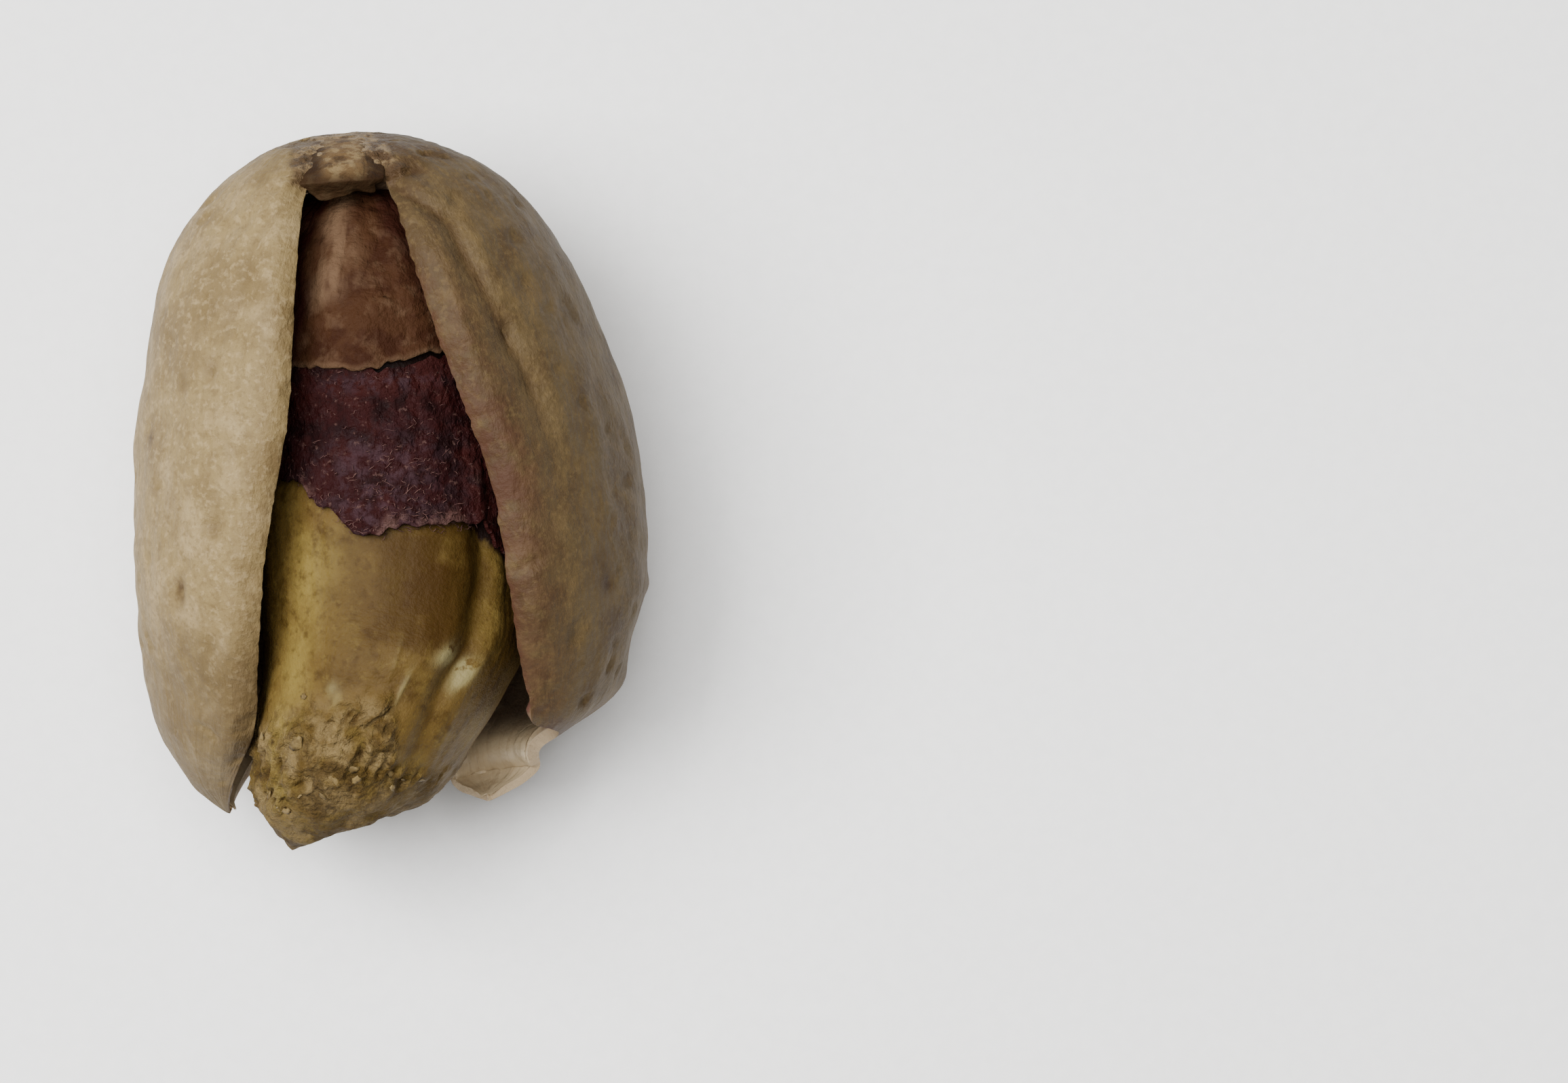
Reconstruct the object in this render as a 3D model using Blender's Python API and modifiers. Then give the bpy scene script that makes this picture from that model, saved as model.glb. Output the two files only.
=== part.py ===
"""A ripe pistachio in its split shell, lying on its back with the gape upwards.

The shell is one grown piece: two halves joined at the stalk scar and along the upper part of the back
suture, sprung open at the tip. The kernel inside it still wears its papery seed coat over the stalk end,
where a thicker cap of the coat has cracked away from the rest.

Metres, +Z up. +Y points along the nut to the stalk scar and -Y to the open tip. The origin is on the
surface that the nut rests on, under the middle of its outline.
"""

import math

import bmesh
import bpy
from mathutils import Matrix, Vector, noise

# Shell while closed: an egg with a blunt stalk end and a drawn-out tip
SHELL_HALF_LENGTH = 0.00978
SHELL_HALF_DEPTH = 0.0062
RIGHT_HALF_THICKNESS = 0.0055
LEFT_HALF_THICKNESS = 0.00497
STALK_END_POWERS = (2.7, 0.4)
RIGHT_TIP_POWERS = (2.92, 0.745)
LEFT_TIP_POWERS = (2.74, 0.84)
WALL = 0.00085
LIP_WALL_SHARE = 0.4
TIP_WALL_SHARE = 0.25
# Wander of the lips from the suture: (side, axial, reach along, angle)
LIP_WANDER = ((-1, 0.24, 0.32, -0.075), (-1, -0.6, 0.1, 0.03), (1, -0.04, 0.28, 0.068))
LIP_ROLL_DEPTH = 0.00042
LIP_ROLL_REACH = 0.0011
# Broad swells of the outer face: (side, axial, reach along, height), all at the nut's flanks
SWELLS = (
    (1, 0.02, 0.22, 0.00026), (1, -0.76, 0.08, 0.00055),
    (-1, 0.5, 0.15, 0.00013), (-1, -0.3, 0.14, -0.00015), (-1, -0.68, 0.13, 0.0003),
)

# Shell sprung open, about a line from the stalk scar to where the back suture stops splitting
RIGHT_OPENING = math.radians(17.2)
LEFT_OPENING = math.radians(13.3)
BACK_SPLIT_AT = 0.32
GAPE_TOP_AT = 0.905
RIGHT_TIP_HOOK = 0.0018
LEFT_TIP_HOOK = -0.0006
LEFT_TIP_FLARE = 0.0011
LEFT_TIP_SHORTER = 0.0003

# Lie of the nut on the surface
STALK_END_RAISED = math.radians(9.0)
TURNED_IN_PLAN = math.radians(3.7)
AXIS_PLACE = Vector((-0.000727, 0.00034, 0.006329))
RESTING_FLAT_DEPTH = 0.00035
BELLY = 0.00048

# Kernel: an egg that fills the shell, fuller on its left shoulder, drawn aside and lifted towards the tip
KERNEL_HALF_LENGTH = 0.00904
KERNEL_RIGHT_HALF_WIDTH = 0.00395
KERNEL_LEFT_HALF_WIDTH = 0.00358
KERNEL_HALF_DEPTH = 0.0043
KERNEL_MIDDLE = Vector((0.00045, -0.0009, 0.0002))
KERNEL_STALK_END_POWERS = (3.0, 0.5)
KERNEL_STALK_END_LIFT = 0.0002
KERNEL_TIP_POWERS = (6.0, 0.5)
KERNEL_TIP_DRIFT = 0.00095
KERNEL_TIP_FLARE = 0.0003
KERNEL_TIP_LIFT = 0.0015
# Flat faces of the kernel's broken tip: (outward normal, distance from the nut's middle)
BROKEN_FACES = (
    (Vector((0.27, -0.96, 0.05)), 0.0091),
    (Vector((-0.82, -0.57, 0.05)), 0.00805),
    (Vector((0.785, -0.615, 0.06)), 0.00685),
)
# Power of the sine and cosine on the fuller left shoulder; 1 would be an ellipse
KERNEL_LEFT_SHOULDER = 0.85
BROKEN_END_SLOPE = 0.35
CREASE_DEPTH = 0.0005
CREASE_TURN = math.radians(25)
CREASE_SWAY = math.radians(21)

# Seed coat and its cap: thin skins over the kernel. Edges are given as (turn in degrees, axial station).
SKIN_GAP = 0.0002
COAT_THICKNESS = 0.0002
CAP_THICKNESS = 0.0003
TORN_EDGE = (
    (-180, 0.16), (-90, 0.2), (-38, 0.13), (-24, 0.05), (-12, -0.055), (0, -0.03),
    (20, -0.03), (27, -0.12), (45, -0.2), (68, -0.24), (110, -0.1), (180, 0.16),
)
CRACK = ((-180, 0.52), (-31, 0.465), (-10, 0.45), (8, 0.49), (36, 0.555), (90, 0.5), (180, 0.52))
CRACK_WIDTH = 0.025

# Fineness of the meshes
SHELL_SEGMENTS, SHELL_RINGS = 40, 42
KERNEL_SEGMENTS, KERNEL_RINGS = 48, 32
SKIN_SEGMENTS, COAT_ROWS, CAP_ROWS = 40, 8, 7


def smooth(value):
    """0 below 0, 1 above 1 and an even rise between."""
    value = min(max(value, 0.0), 1.0)
    return value * value * (3.0 - 2.0 * value)


def bump(value, middle, width):
    """A hump of height 1 at middle that dies away over a few widths."""
    return math.exp(-(((value - middle) / width) ** 2))


def along_outline(outline, turn):
    """Axial station of an outline of (degrees, station) at a turn in radians."""
    degrees = math.degrees(turn)
    for (before, low), (after, high) in zip(outline, outline[1:]):
        if degrees <= after:
            return low + (high - low) * smooth((degrees - before) / (after - before))
    return outline[-1][1]


def station_of(point):
    """(axial, turn) of a point of the unit sphere: axial 1 at the scar and -1 at the tip, turn 0 at the gape.

    Rings stand closer together towards the tip, and meridians towards the gape.
    """
    polar = math.acos(min(max(point.z / point.length, -1.0), 1.0))
    turn = math.atan2(abs(point.x), point.y) / math.pi
    if polar <= math.pi / 2:
        return math.cos(polar), turn
    return (2.0 - 2.0 * polar / math.pi) ** 1.4 - 1.0, turn


def unit_sphere(segments, rings):
    """A sphere with its poles on Z and a meridian both at the gape, +Y, and at the back, -Y."""
    sphere = bmesh.new()
    bmesh.ops.create_uvsphere(sphere, u_segments=segments, v_segments=rings, radius=1.0)
    return sphere


def laid_down(point):
    """From the nut's own frame to its lie on the surface."""
    turned = Matrix.Rotation(TURNED_IN_PLAN, 3, "Z") @ Matrix.Rotation(STALK_END_RAISED, 3, "X")
    return turned @ point + AXIS_PLACE


def shell_fullness(axial, side):
    """Share of the full girth at a station. The right tip narrows to a waist and rounds out as a spout."""
    if axial >= 0.0:
        return max(1.0 - axial ** STALK_END_POWERS[0], 0.0) ** STALK_END_POWERS[1]
    power, root = RIGHT_TIP_POWERS if side > 0 else LEFT_TIP_POWERS
    girth = max(1.0 - abs(axial) ** power, 0.0) ** root
    if side > 0:
        girth -= 0.12 * bump(axial, -0.875, 0.055)
        girth += 0.11 * bump(axial, -0.965, 0.05) * smooth((axial + 1.0) / 0.02)
    return girth


def lip_setback(axial, side):
    """Angle by which the lip stands back from the suture: an arch below the scar and a cut at the tip."""
    if side == 0 or axial > GAPE_TOP_AT:
        return 0.0
    arch = 0.054 * (1.0 - smooth((GAPE_TOP_AT - axial) / 0.25))
    for wandering, middle, reach, angle in LIP_WANDER:
        if side == wandering:
            arch += angle * bump(axial, middle, reach)
    if side > 0:
        return arch + 1.5 * smooth((-0.75 - axial) / 0.2)
    return arch + 0.32 * smooth((-0.887 - axial) / 0.33)


def lip_roll(axial, turn, girth, side):
    """Depth by which the outer face curls in towards the edge of the gape."""
    across = (turn - lip_setback(axial, side)) * SHELL_HALF_DEPTH * girth
    past_top = max(axial - GAPE_TOP_AT, 0.0) * SHELL_HALF_LENGTH
    left = 1.0 - min(math.hypot(across, past_top) / LIP_ROLL_REACH, 1.0)
    tip = smooth((axial + 0.75) / 0.15) if side > 0 else smooth((axial + 0.97) / 0.2)
    return LIP_ROLL_DEPTH * left * left * tip


def shell_relief(axial, turn, side, point):
    """Height over the smooth egg: unevenness, swells, the crease by the lip, the scar, a wart, the belly."""
    height = 0.00009 * noise.noise(point * 420.0)
    crease_at = 0.43 - 0.13 * smooth((axial - 0.1) / 0.55) - 0.22 * smooth((axial - 0.67) / 0.2)
    depth, reach = (0.00034, -0.2) if side > 0 else (0.00014, 0.1)
    creased = smooth((axial - reach) / 0.45) * smooth((0.95 - axial) / 0.12)
    height -= depth * creased * bump(turn, crease_at, 0.09)
    height += 0.5 * depth * creased * bump(turn, crease_at - 0.2, 0.12)
    scar = smooth((axial - 0.84) / 0.1) * (1.0 - 0.7 * smooth((turn - 1.4) / 1.0))
    height += scar * (0.0001 + 0.0002 * noise.noise(point * 1300.0))
    for swollen, middle, reach, swell in SWELLS:
        if side == swollen:
            height += swell * bump(axial, middle, reach) * bump(turn, math.pi / 2, 0.6)
    height += BELLY * bump(axial, 0.26, 0.26) * smooth((turn - 1.9) / 0.8)
    if side > 0:
        height += 0.00022 * bump(axial, -0.5, 0.045) * bump(turn, 1.5, 0.15)
    return height


def sprung_open(point, side):
    """Turns a half outwards about the line from the stalk scar to the end of the back split."""
    scar = Vector((SHELL_HALF_LENGTH, 0.0))
    girth = shell_fullness(BACK_SPLIT_AT, side)
    split = Vector((SHELL_HALF_LENGTH * BACK_SPLIT_AT, -SHELL_HALF_DEPTH * girth))
    along = (split - scar).normalized()
    away = Vector((along.y, -along.x))
    offset = point.yz - scar
    reach = offset.dot(away)
    if reach <= 0.0:
        return point.copy()
    opening = RIGHT_OPENING if side > 0 else LEFT_OPENING
    settled = smooth(reach / 0.0045)
    out = point.x * (1.0 - settled * (1.0 - math.cos(opening))) + side * reach * math.sin(opening)
    reach -= settled * (reach * (1.0 - math.cos(opening)) + side * point.x * math.sin(opening))
    place = scar + along * offset.dot(along) + away * reach
    return Vector((out, place.x, place.y))


def shell_point(axial, share, side):
    """A point of the shell's outer face. share runs from 0 at the gape's lip to 1 at the back suture.

    side is 1 for the right half, -1 for the left one and 0 on a suture that is still whole.
    """
    turn = math.pi * share ** 1.25
    setback = lip_setback(axial, side)
    turn = setback + turn * (1.0 - setback / math.pi)
    girth = shell_fullness(axial, side)
    thickness = RIGHT_HALF_THICKNESS if side > 0 else LEFT_HALF_THICKNESS
    across = side * thickness * girth * math.sin(turn)
    point = Vector((across, SHELL_HALF_LENGTH * axial, SHELL_HALF_DEPTH * girth * math.cos(turn)))
    outwards = Vector((side * math.sin(turn), 0.4 * axial, math.cos(turn))).normalized()
    height = shell_relief(axial, turn, side, point) - lip_roll(axial, turn, girth, side)
    point += outwards * height
    if side == 0:
        return point
    point = sprung_open(point, side)
    low = min(max((0.003 - point.z) / 0.006, 0.0), 1.0)
    hook = RIGHT_TIP_HOOK if side > 0 else LEFT_TIP_HOOK
    point.x -= side * hook * smooth((-axial - 0.35) / 0.65) * low
    if side < 0:
        point.x -= LEFT_TIP_FLARE * smooth((-axial - 0.6) / 0.4)
        point.y += LEFT_TIP_SHORTER * smooth((-axial - 0.7) / 0.3)
    return point


def on_suture(vert, back):
    """True if a vertex of the sphere lies on the back meridian, or else on the gape's."""
    if math.hypot(vert.co.x, vert.co.y) < 1e-4:
        return True
    return abs(vert.co.x) < 1e-4 and (vert.co.y < 0.0) == back


def split_sutures(sphere):
    """Opens the sphere along the gape, over the tip and part of the way up the back."""
    cut = []
    for edge in sphere.edges:
        for back, top in ((False, GAPE_TOP_AT), (True, BACK_SPLIT_AT)):
            below = all(station_of(vert.co)[0] <= top for vert in edge.verts)
            if below and all(on_suture(vert, back) for vert in edge.verts):
                cut.append(edge)
    bmesh.ops.split_edges(sphere, edges=cut)


def side_of(vert):
    """1 on the right half, -1 on the left one, 0 where both halves share the vertex."""
    balance = sum(face.calc_center_median().x for face in vert.link_faces)
    return 0 if abs(balance) < 1e-3 else int(math.copysign(1, balance))


def wall_share(axial, share):
    """Share of the wall's thickness: it thins towards the lips and to an edge at the tip."""
    lip = 1.0 - (1.0 - LIP_WALL_SHARE) * (1.0 - smooth(share / 0.15)) * smooth((GAPE_TOP_AT - axial) / 0.1)
    tip = TIP_WALL_SHARE + (1.0 - TIP_WALL_SHARE) * smooth((axial + 1.0) / 0.3)
    return min(lip, tip)


def finish(name, colour, roughness):
    made = bpy.data.materials.new(name)
    made.use_nodes = True
    shader = made.node_tree.nodes["Principled BSDF"]
    shader.inputs["Base Color"].default_value = (*colour, 1.0)
    shader.inputs["Roughness"].default_value = roughness
    shader.inputs["Metallic"].default_value = 0.0
    return made


def add_object(name, surface, collection, material):
    """Makes a bmesh a smooth-shaded object of the collection."""
    surface.normal_update()
    bmesh.ops.recalc_face_normals(surface, faces=surface.faces)
    mesh = bpy.data.meshes.new(name)
    surface.to_mesh(mesh)
    surface.free()
    mesh.shade_smooth()
    mesh.materials.append(material)
    made = bpy.data.objects.new(name, mesh)
    collection.objects.link(made)
    return made


def thicken(made, thickness, offset):
    """Gives an open surface a wall: offset -1 grows it inwards and 1 outwards."""
    wall = made.modifiers.new("Wall", "SOLIDIFY")
    wall.thickness = thickness
    wall.offset = offset
    return wall


def add_shell(collection):
    """Both halves as one body. The vertices that would dip lowest are levelled, so that the nut rests."""
    sphere = unit_sphere(SHELL_SEGMENTS, SHELL_RINGS)
    split_sutures(sphere)
    stations = [(*station_of(vert.co), side_of(vert)) for vert in sphere.verts]
    for vert, (axial, share, side) in zip(sphere.verts, stations):
        vert.co = laid_down(shell_point(axial, share, side))
    lowest = min(vert.co.z for vert in sphere.verts)
    for vert in sphere.verts:
        vert.co.z = max(vert.co.z, lowest + RESTING_FLAT_DEPTH)
    made = add_object("shell", sphere, collection, finish("shell wood", (0.46, 0.34, 0.21), 0.62))
    walls = made.vertex_groups.new(name="wall")
    for index, (axial, share, _) in enumerate(stations):
        walls.add([index], wall_share(axial, share), "REPLACE")
    thicken(made, WALL, -1.0).vertex_group = "wall"
    lips = made.modifiers.new("Rounded lips", "BEVEL")
    lips.width = 0.00012
    lips.segments = 1
    lips.limit_method = "ANGLE"
    lips.angle_limit = math.radians(50)


def kernel_point(axial, turn, height=0.0):
    """A point of the kernel, or one at a height over it. turn is signed: positive towards the right lip."""
    power, root = KERNEL_STALK_END_POWERS if axial >= 0.0 else KERNEL_TIP_POWERS
    girth = max(1.0 - abs(axial) ** power, 0.0) ** root
    creased = smooth((0.6 - axial) / 0.6) * smooth((axial + 0.98) / 0.2)
    crease_at = CREASE_TURN + CREASE_SWAY * smooth((axial + 0.75) / 0.6)
    valley = creased * bump(turn, CREASE_TURN, 0.12)
    turn += (crease_at - CREASE_TURN) * bump(turn, CREASE_TURN, 0.6)
    across = math.sin(turn)
    up = math.cos(turn)
    squared = smooth(0.1 - 2.0 * across) * smooth(2.0 * up) * smooth((0.3 - axial) / 0.5)
    squared *= smooth((axial + 0.95) / 0.4)
    fuller = 1.0 - (1.0 - KERNEL_LEFT_SHOULDER) * squared
    half_width = KERNEL_RIGHT_HALF_WIDTH if across > 0.0 else KERNEL_LEFT_HALF_WIDTH
    wide = half_width * girth * math.copysign(abs(across) ** fuller, across)
    deep = KERNEL_HALF_DEPTH * girth * math.copysign(abs(up) ** fuller, up)
    point = Vector((wide, 0.0, deep))
    level = 1.0 - axial ** 8
    outwards = Vector((level * across, 0.4 * axial + 1.2 * axial * abs(axial) ** 5, level * up)).normalized()
    if height == 0.0:
        uneven = 0.00014 * smooth((0.1 - axial) / 0.3) * noise.noise(Vector((across, up, 6.0 * axial)))
        height = uneven - CREASE_DEPTH * valley
    point += outwards * height
    flared = KERNEL_TIP_FLARE * smooth((-axial - 0.72) / 0.2) * smooth(-across)
    point.x -= KERNEL_TIP_DRIFT * smooth((-axial - 0.35) / 0.55) + flared
    point.z += KERNEL_TIP_LIFT * smooth((0.4 - axial) / 1.2)
    point.z += KERNEL_STALK_END_LIFT * smooth((axial - 0.5) / 0.5)
    point.y += KERNEL_HALF_LENGTH * axial
    point.y += BROKEN_END_SLOPE * half_width * girth * across * smooth((-axial - 0.3) / 0.6)
    point += KERNEL_MIDDLE
    for normal, distance in BROKEN_FACES:
        point -= normal * max(normal.dot(point) - distance, 0.0)
    return point


def add_kernel(collection):
    """The two seed leaves as one body, parted by a crease."""
    sphere = unit_sphere(KERNEL_SEGMENTS, KERNEL_RINGS)
    for vert in sphere.verts:
        axial, share = station_of(vert.co)
        vert.co = laid_down(kernel_point(axial, math.copysign(math.pi * share, vert.co.x)))
    add_object("kernel", sphere, collection, finish("kernel flesh", (0.23, 0.16, 0.035), 0.5))


def skin(rows, low, high):
    """An open skin over the kernel between two stations, each a function of the turn; closer rows on top."""
    sheet = bmesh.new()
    bmesh.ops.create_grid(sheet, x_segments=SKIN_SEGMENTS, y_segments=rows, size=1.0)
    for vert in sheet.verts:
        turn = math.pi * vert.co.x
        upwards = math.sin(math.pi / 4 * (vert.co.y + 1.0))
        axial = low(turn) + (high(turn) - low(turn)) * upwards
        vert.co = laid_down(kernel_point(axial, turn, SKIN_GAP))
    bmesh.ops.remove_doubles(sheet, verts=sheet.verts, dist=1e-6)
    return sheet


def add_seed_coat(collection):
    """The papery coat, from the cap's crack down to its torn edge."""
    sheet = skin(
        COAT_ROWS,
        lambda turn: along_outline(TORN_EDGE, turn),
        lambda turn: along_outline(CRACK, turn) - CRACK_WIDTH,
    )
    made = add_object("seed_coat", sheet, collection, finish("seed coat", (0.038, 0.012, 0.013), 0.6))
    thicken(made, COAT_THICKNESS, 1.0)


def add_coat_cap(collection):
    """The thicker cap of the coat over the stalk end, cracked away from the rest."""
    sheet = skin(CAP_ROWS, lambda turn: along_outline(CRACK, turn), lambda turn: 1.0)
    made = add_object("coat_cap", sheet, collection, finish("coat cap", (0.14, 0.08, 0.04), 0.65))
    thicken(made, CAP_THICKNESS, 1.0)


def main():
    for old in list(bpy.data.objects):
        bpy.data.objects.remove(old)
    nut = bpy.data.collections.new("pistachio in shell")
    bpy.context.scene.collection.children.link(nut)
    add_shell(nut)
    add_kernel(nut)
    add_seed_coat(nut)
    add_coat_cap(nut)


if __name__ == "__main__":
    main()
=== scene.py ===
"""Looks of a ripe pistachio that lies on its back in its split shell.

The CAD model gives the frame. Each of its nodes is replaced here by a finer piece grown from the same
sizes: the woody shell, the two seed leaves of the kernel, the papery coat and the cracked cap of the coat.
The knob of cork on the scar, the torn fibres and the chips of broken flesh are pieces of their own.

All geometry is worked out in millimetres in the nut's own frame (+Y to the stalk scar, +Z out of the gape)
and is laid down and turned to metres only when a mesh is made.
"""

import logging
import math
import random
from dataclasses import dataclass, field, replace
from enum import Enum
from typing import Callable

import bmesh
import bpy
from mathutils import Matrix, Vector, noise


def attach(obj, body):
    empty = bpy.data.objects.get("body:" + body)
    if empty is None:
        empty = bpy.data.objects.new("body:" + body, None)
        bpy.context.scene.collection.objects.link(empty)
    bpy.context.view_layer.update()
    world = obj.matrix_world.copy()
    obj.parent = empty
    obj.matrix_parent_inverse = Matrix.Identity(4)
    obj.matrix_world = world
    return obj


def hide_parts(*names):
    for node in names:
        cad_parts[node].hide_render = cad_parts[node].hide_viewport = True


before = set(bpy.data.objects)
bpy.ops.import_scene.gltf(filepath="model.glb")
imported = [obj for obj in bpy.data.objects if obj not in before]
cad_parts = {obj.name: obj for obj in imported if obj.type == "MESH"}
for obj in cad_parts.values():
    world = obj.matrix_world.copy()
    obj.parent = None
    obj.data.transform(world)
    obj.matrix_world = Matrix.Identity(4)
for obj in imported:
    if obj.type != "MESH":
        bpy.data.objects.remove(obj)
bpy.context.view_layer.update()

LOG = logging.getLogger("pistachio")

MM = 0.001
BODY = "root"
PHOTO_WIDTH = 2311
PHOTO_HEIGHT = 1596
MM_PER_PIXEL = 0.0192
SAME_PLACE = 1e-7
ON_SEAM = 1e-5
COAT_GAP = 0.16

Waves = tuple[tuple[float, float], ...]
Outline = tuple[tuple[float, float], ...]
Socket = bpy.types.NodeSocket


class Half(Enum):
    """The halves of the shell, and the suture that they still share. The value is the sign of X."""

    RIGHT = 1
    LEFT = -1
    SHARED = 0


def smooth(value: float) -> float:
    """0 below 0, 1 above 1 and an even rise between."""
    value = min(max(value, 0.0), 1.0)
    return value * value * (3.0 - 2.0 * value)


def bump(value: float, middle: float, width: float) -> float:
    """A hump of height 1 at middle that dies away over a few widths."""
    return math.exp(-(((value - middle) / width) ** 2))


def waver(first: float, second: float, third: float) -> float:
    """Smooth noise about 0, read at a place given by three numbers."""
    return noise.noise(Vector((first, second, third)))


def lumpy(point: Vector, waves: Waves) -> float:
    """Sum of smooth noises at a point, each with its height and its fineness in waves per millimetre."""
    return sum(height * noise.noise(point * fineness) for height, fineness in waves)


def linear(hex_colour: str) -> tuple[float, float, float, float]:
    """An sRGB hex colour as linear red, green, blue and alpha.

    Args:
        hex_colour: the colour, such as #796744.

    Returns:
        Its four linear channels.
    """
    channels = [int(hex_colour[at : at + 2], 16) / 255.0 for at in (1, 3, 5)]
    turned = [c / 12.92 if c <= 0.04045 else ((c + 0.055) / 1.055) ** 2.4 for c in channels]
    return (*turned, 1.0)


def per_mm(size_mm: float) -> float:
    """Scale of a pattern on Object coordinates, in metres, whose features are size_mm apart."""
    return 1.0 / (size_mm * MM)


@dataclass(frozen=True)
class Lie:
    """How the nut's own frame lies on the surface.

    Args:
        stalk_end_raised: angle by which the stalk end is raised, in degrees.
        turned_in_plan: turn about the vertical, in degrees.
        axis_place: the nut's middle in the row frame, in millimetres.
    """

    stalk_end_raised: float = 9.0
    turned_in_plan: float = 3.7
    axis_place: tuple[float, float, float] = (-0.727, 0.34, 6.329)

    def matrix(self) -> Matrix:
        """The transform from the nut's frame in millimetres to the row frame in metres.

        Returns:
            The matrix.
        """
        plan = Matrix.Rotation(math.radians(self.turned_in_plan), 4, "Z")
        pitch = Matrix.Rotation(math.radians(self.stalk_end_raised), 4, "X")
        return Matrix.Scale(MM, 4) @ Matrix.Translation(Vector(self.axis_place)) @ plan @ pitch


LIE = Lie()
TIP_CROWDING = 1.4


def add_node(tree: bpy.types.NodeTree, kind: str, settings: dict, links: dict) -> bpy.types.Node:
    """Adds a shader node.

    Args:
        tree: the material's node tree.
        kind: the node's type name, without the prefix ShaderNode.
        settings: values by attribute name, or by input name or number.
        links: output sockets by input name or number.

    Returns:
        The new node.
    """
    node = tree.nodes.new("ShaderNode" + kind)
    for name, value in settings.items():
        if isinstance(name, str) and hasattr(node, name):
            setattr(node, name, value)
        else:
            node.inputs[name].default_value = value
    for name, socket in links.items():
        tree.links.new(socket, node.inputs[name])
    return node


class Finish:
    """A procedural material: a Principled BSDF whose colour is built up in layers, and its relief with it."""

    def __init__(self, name: str, roughness: float, specular: float) -> None:
        """Starts the material.

        Args:
            name: the material's name.
            roughness: roughness of the bare surface.
            specular: specular level of the surface.
        """
        self.material = bpy.data.materials.new(name)
        self.material.use_nodes = True
        self.tree = self.material.node_tree
        self.shader = self.tree.nodes["Principled BSDF"]
        self.shader.inputs["Roughness"].default_value = roughness
        self.shader.inputs["Specular IOR Level"].default_value = specular
        self.place = add_node(self.tree, "TexCoord", {}, {}).outputs["Object"]
        self.colour: Socket | None = None
        self.height: Socket | None = None

    def base(self, hex_colour: str) -> None:
        """Sets the ground colour that the layers go over."""
        self.colour = add_node(self.tree, "RGB", {}, {}).outputs[0]
        self.colour.default_value = linear(hex_colour)

    def along_grain(self, stretch: float) -> Socket:
        """Coordinates that follow the piece's grain, in metres.

        Args:
            stretch: how many times longer the pattern gets along the grain.

        Returns:
            The coordinates.
        """
        grain = add_node(self.tree, "Attribute", {"attribute_name": "grain"}, {}).outputs["Vector"]
        settings = {"Scale": (1.0, 1.0 / stretch, 1.0)}
        return add_node(self.tree, "Mapping", settings, {"Vector": grain}).outputs[0]

    def mask(self, name: str) -> Socket:
        """The piece's own attribute of that name."""
        return add_node(self.tree, "Attribute", {"attribute_name": name}, {}).outputs["Fac"]

    def speckle(
        self,
        size_mm: float,
        low: float,
        high: float,
        detail: float = 3.0,
        where: Socket | None = None,
        within: str | None = None,
    ) -> Socket:
        """A noise mask.

        Args:
            size_mm: rough distance between the noise's features.
            low: noise value that gives 0.
            high: noise value that gives 1.
            detail: octaves of the noise.
            where: coordinates, or None for Object coordinates.
            within: the piece's attribute that it is kept to, or None for all of the piece.

        Returns:
            A value from 0 to 1.
        """
        settings = {"Scale": per_mm(size_mm), "Detail": detail, "Roughness": 0.6}
        drawn = add_node(self.tree, "TexNoise", settings, {"Vector": where or self.place})
        span = {"From Min": low, "From Max": high, "clamp": True, "interpolation_type": "SMOOTHSTEP"}
        spots = add_node(self.tree, "MapRange", span, {"Value": drawn.outputs["Fac"]}).outputs[0]
        return self.product(self.mask(within), spots) if within else spots

    def product(self, mask: Socket, factor: Socket | float) -> Socket:
        """A mask multiplied.

        Args:
            mask: the mask.
            factor: another mask, or a number.

        Returns:
            The product.
        """
        if isinstance(factor, float):
            return add_node(self.tree, "Math", {"operation": "MULTIPLY", 1: factor}, {0: mask}).outputs[0]
        return add_node(self.tree, "Math", {"operation": "MULTIPLY"}, {0: mask, 1: factor}).outputs[0]

    def layer(self, hex_colour: str, mask: Socket, strength: float = 1.0) -> None:
        """Lays a colour over what is there.

        Args:
            hex_colour: the layer's colour.
            mask: where it lies, from 0 to 1.
            strength: how much of it shows where the mask is 1.
        """
        if strength != 1.0:
            mask = self.product(mask, strength)
        mixed = add_node(self.tree, "Mix", {"data_type": "RGBA", "blend_type": "MIX"}, {})
        self.tree.links.new(mask, mixed.inputs[0])
        self.tree.links.new(self.colour, mixed.inputs[6])
        mixed.inputs[7].default_value = linear(hex_colour)
        self.colour = mixed.outputs[2]

    def relief(self, mask: Socket, height_mm: float) -> None:
        """Adds a mask, height_mm high where it is 1, to the fine relief.

        Args:
            mask: where it rises.
            height_mm: how high it is where the mask is 1.
        """
        raised = self.product(mask, height_mm * MM)
        if self.height is not None:
            raised = add_node(self.tree, "Math", {"operation": "ADD"}, {0: self.height, 1: raised}).outputs[0]
        self.height = raised

    def done(self, roughness: tuple[Socket, float, float] | None = None) -> bpy.types.Material:
        """Joins the layers to the shader.

        Args:
            roughness: a mask with the roughness at 0 and at 1, or None for an even one.

        Returns:
            The finished material.
        """
        self.tree.links.new(self.colour, self.shader.inputs["Base Color"])
        if self.height is not None:
            bumped = add_node(self.tree, "Bump", {"Distance": 1.0, "Strength": 1.0}, {"Height": self.height})
            self.tree.links.new(bumped.outputs[0], self.shader.inputs["Normal"])
        if roughness is not None:
            mask, low, high = roughness
            spread = add_node(self.tree, "MapRange", {"To Min": low, "To Max": high}, {"Value": mask})
            self.tree.links.new(spread.outputs[0], self.shader.inputs["Roughness"])
        return self.material


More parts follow.
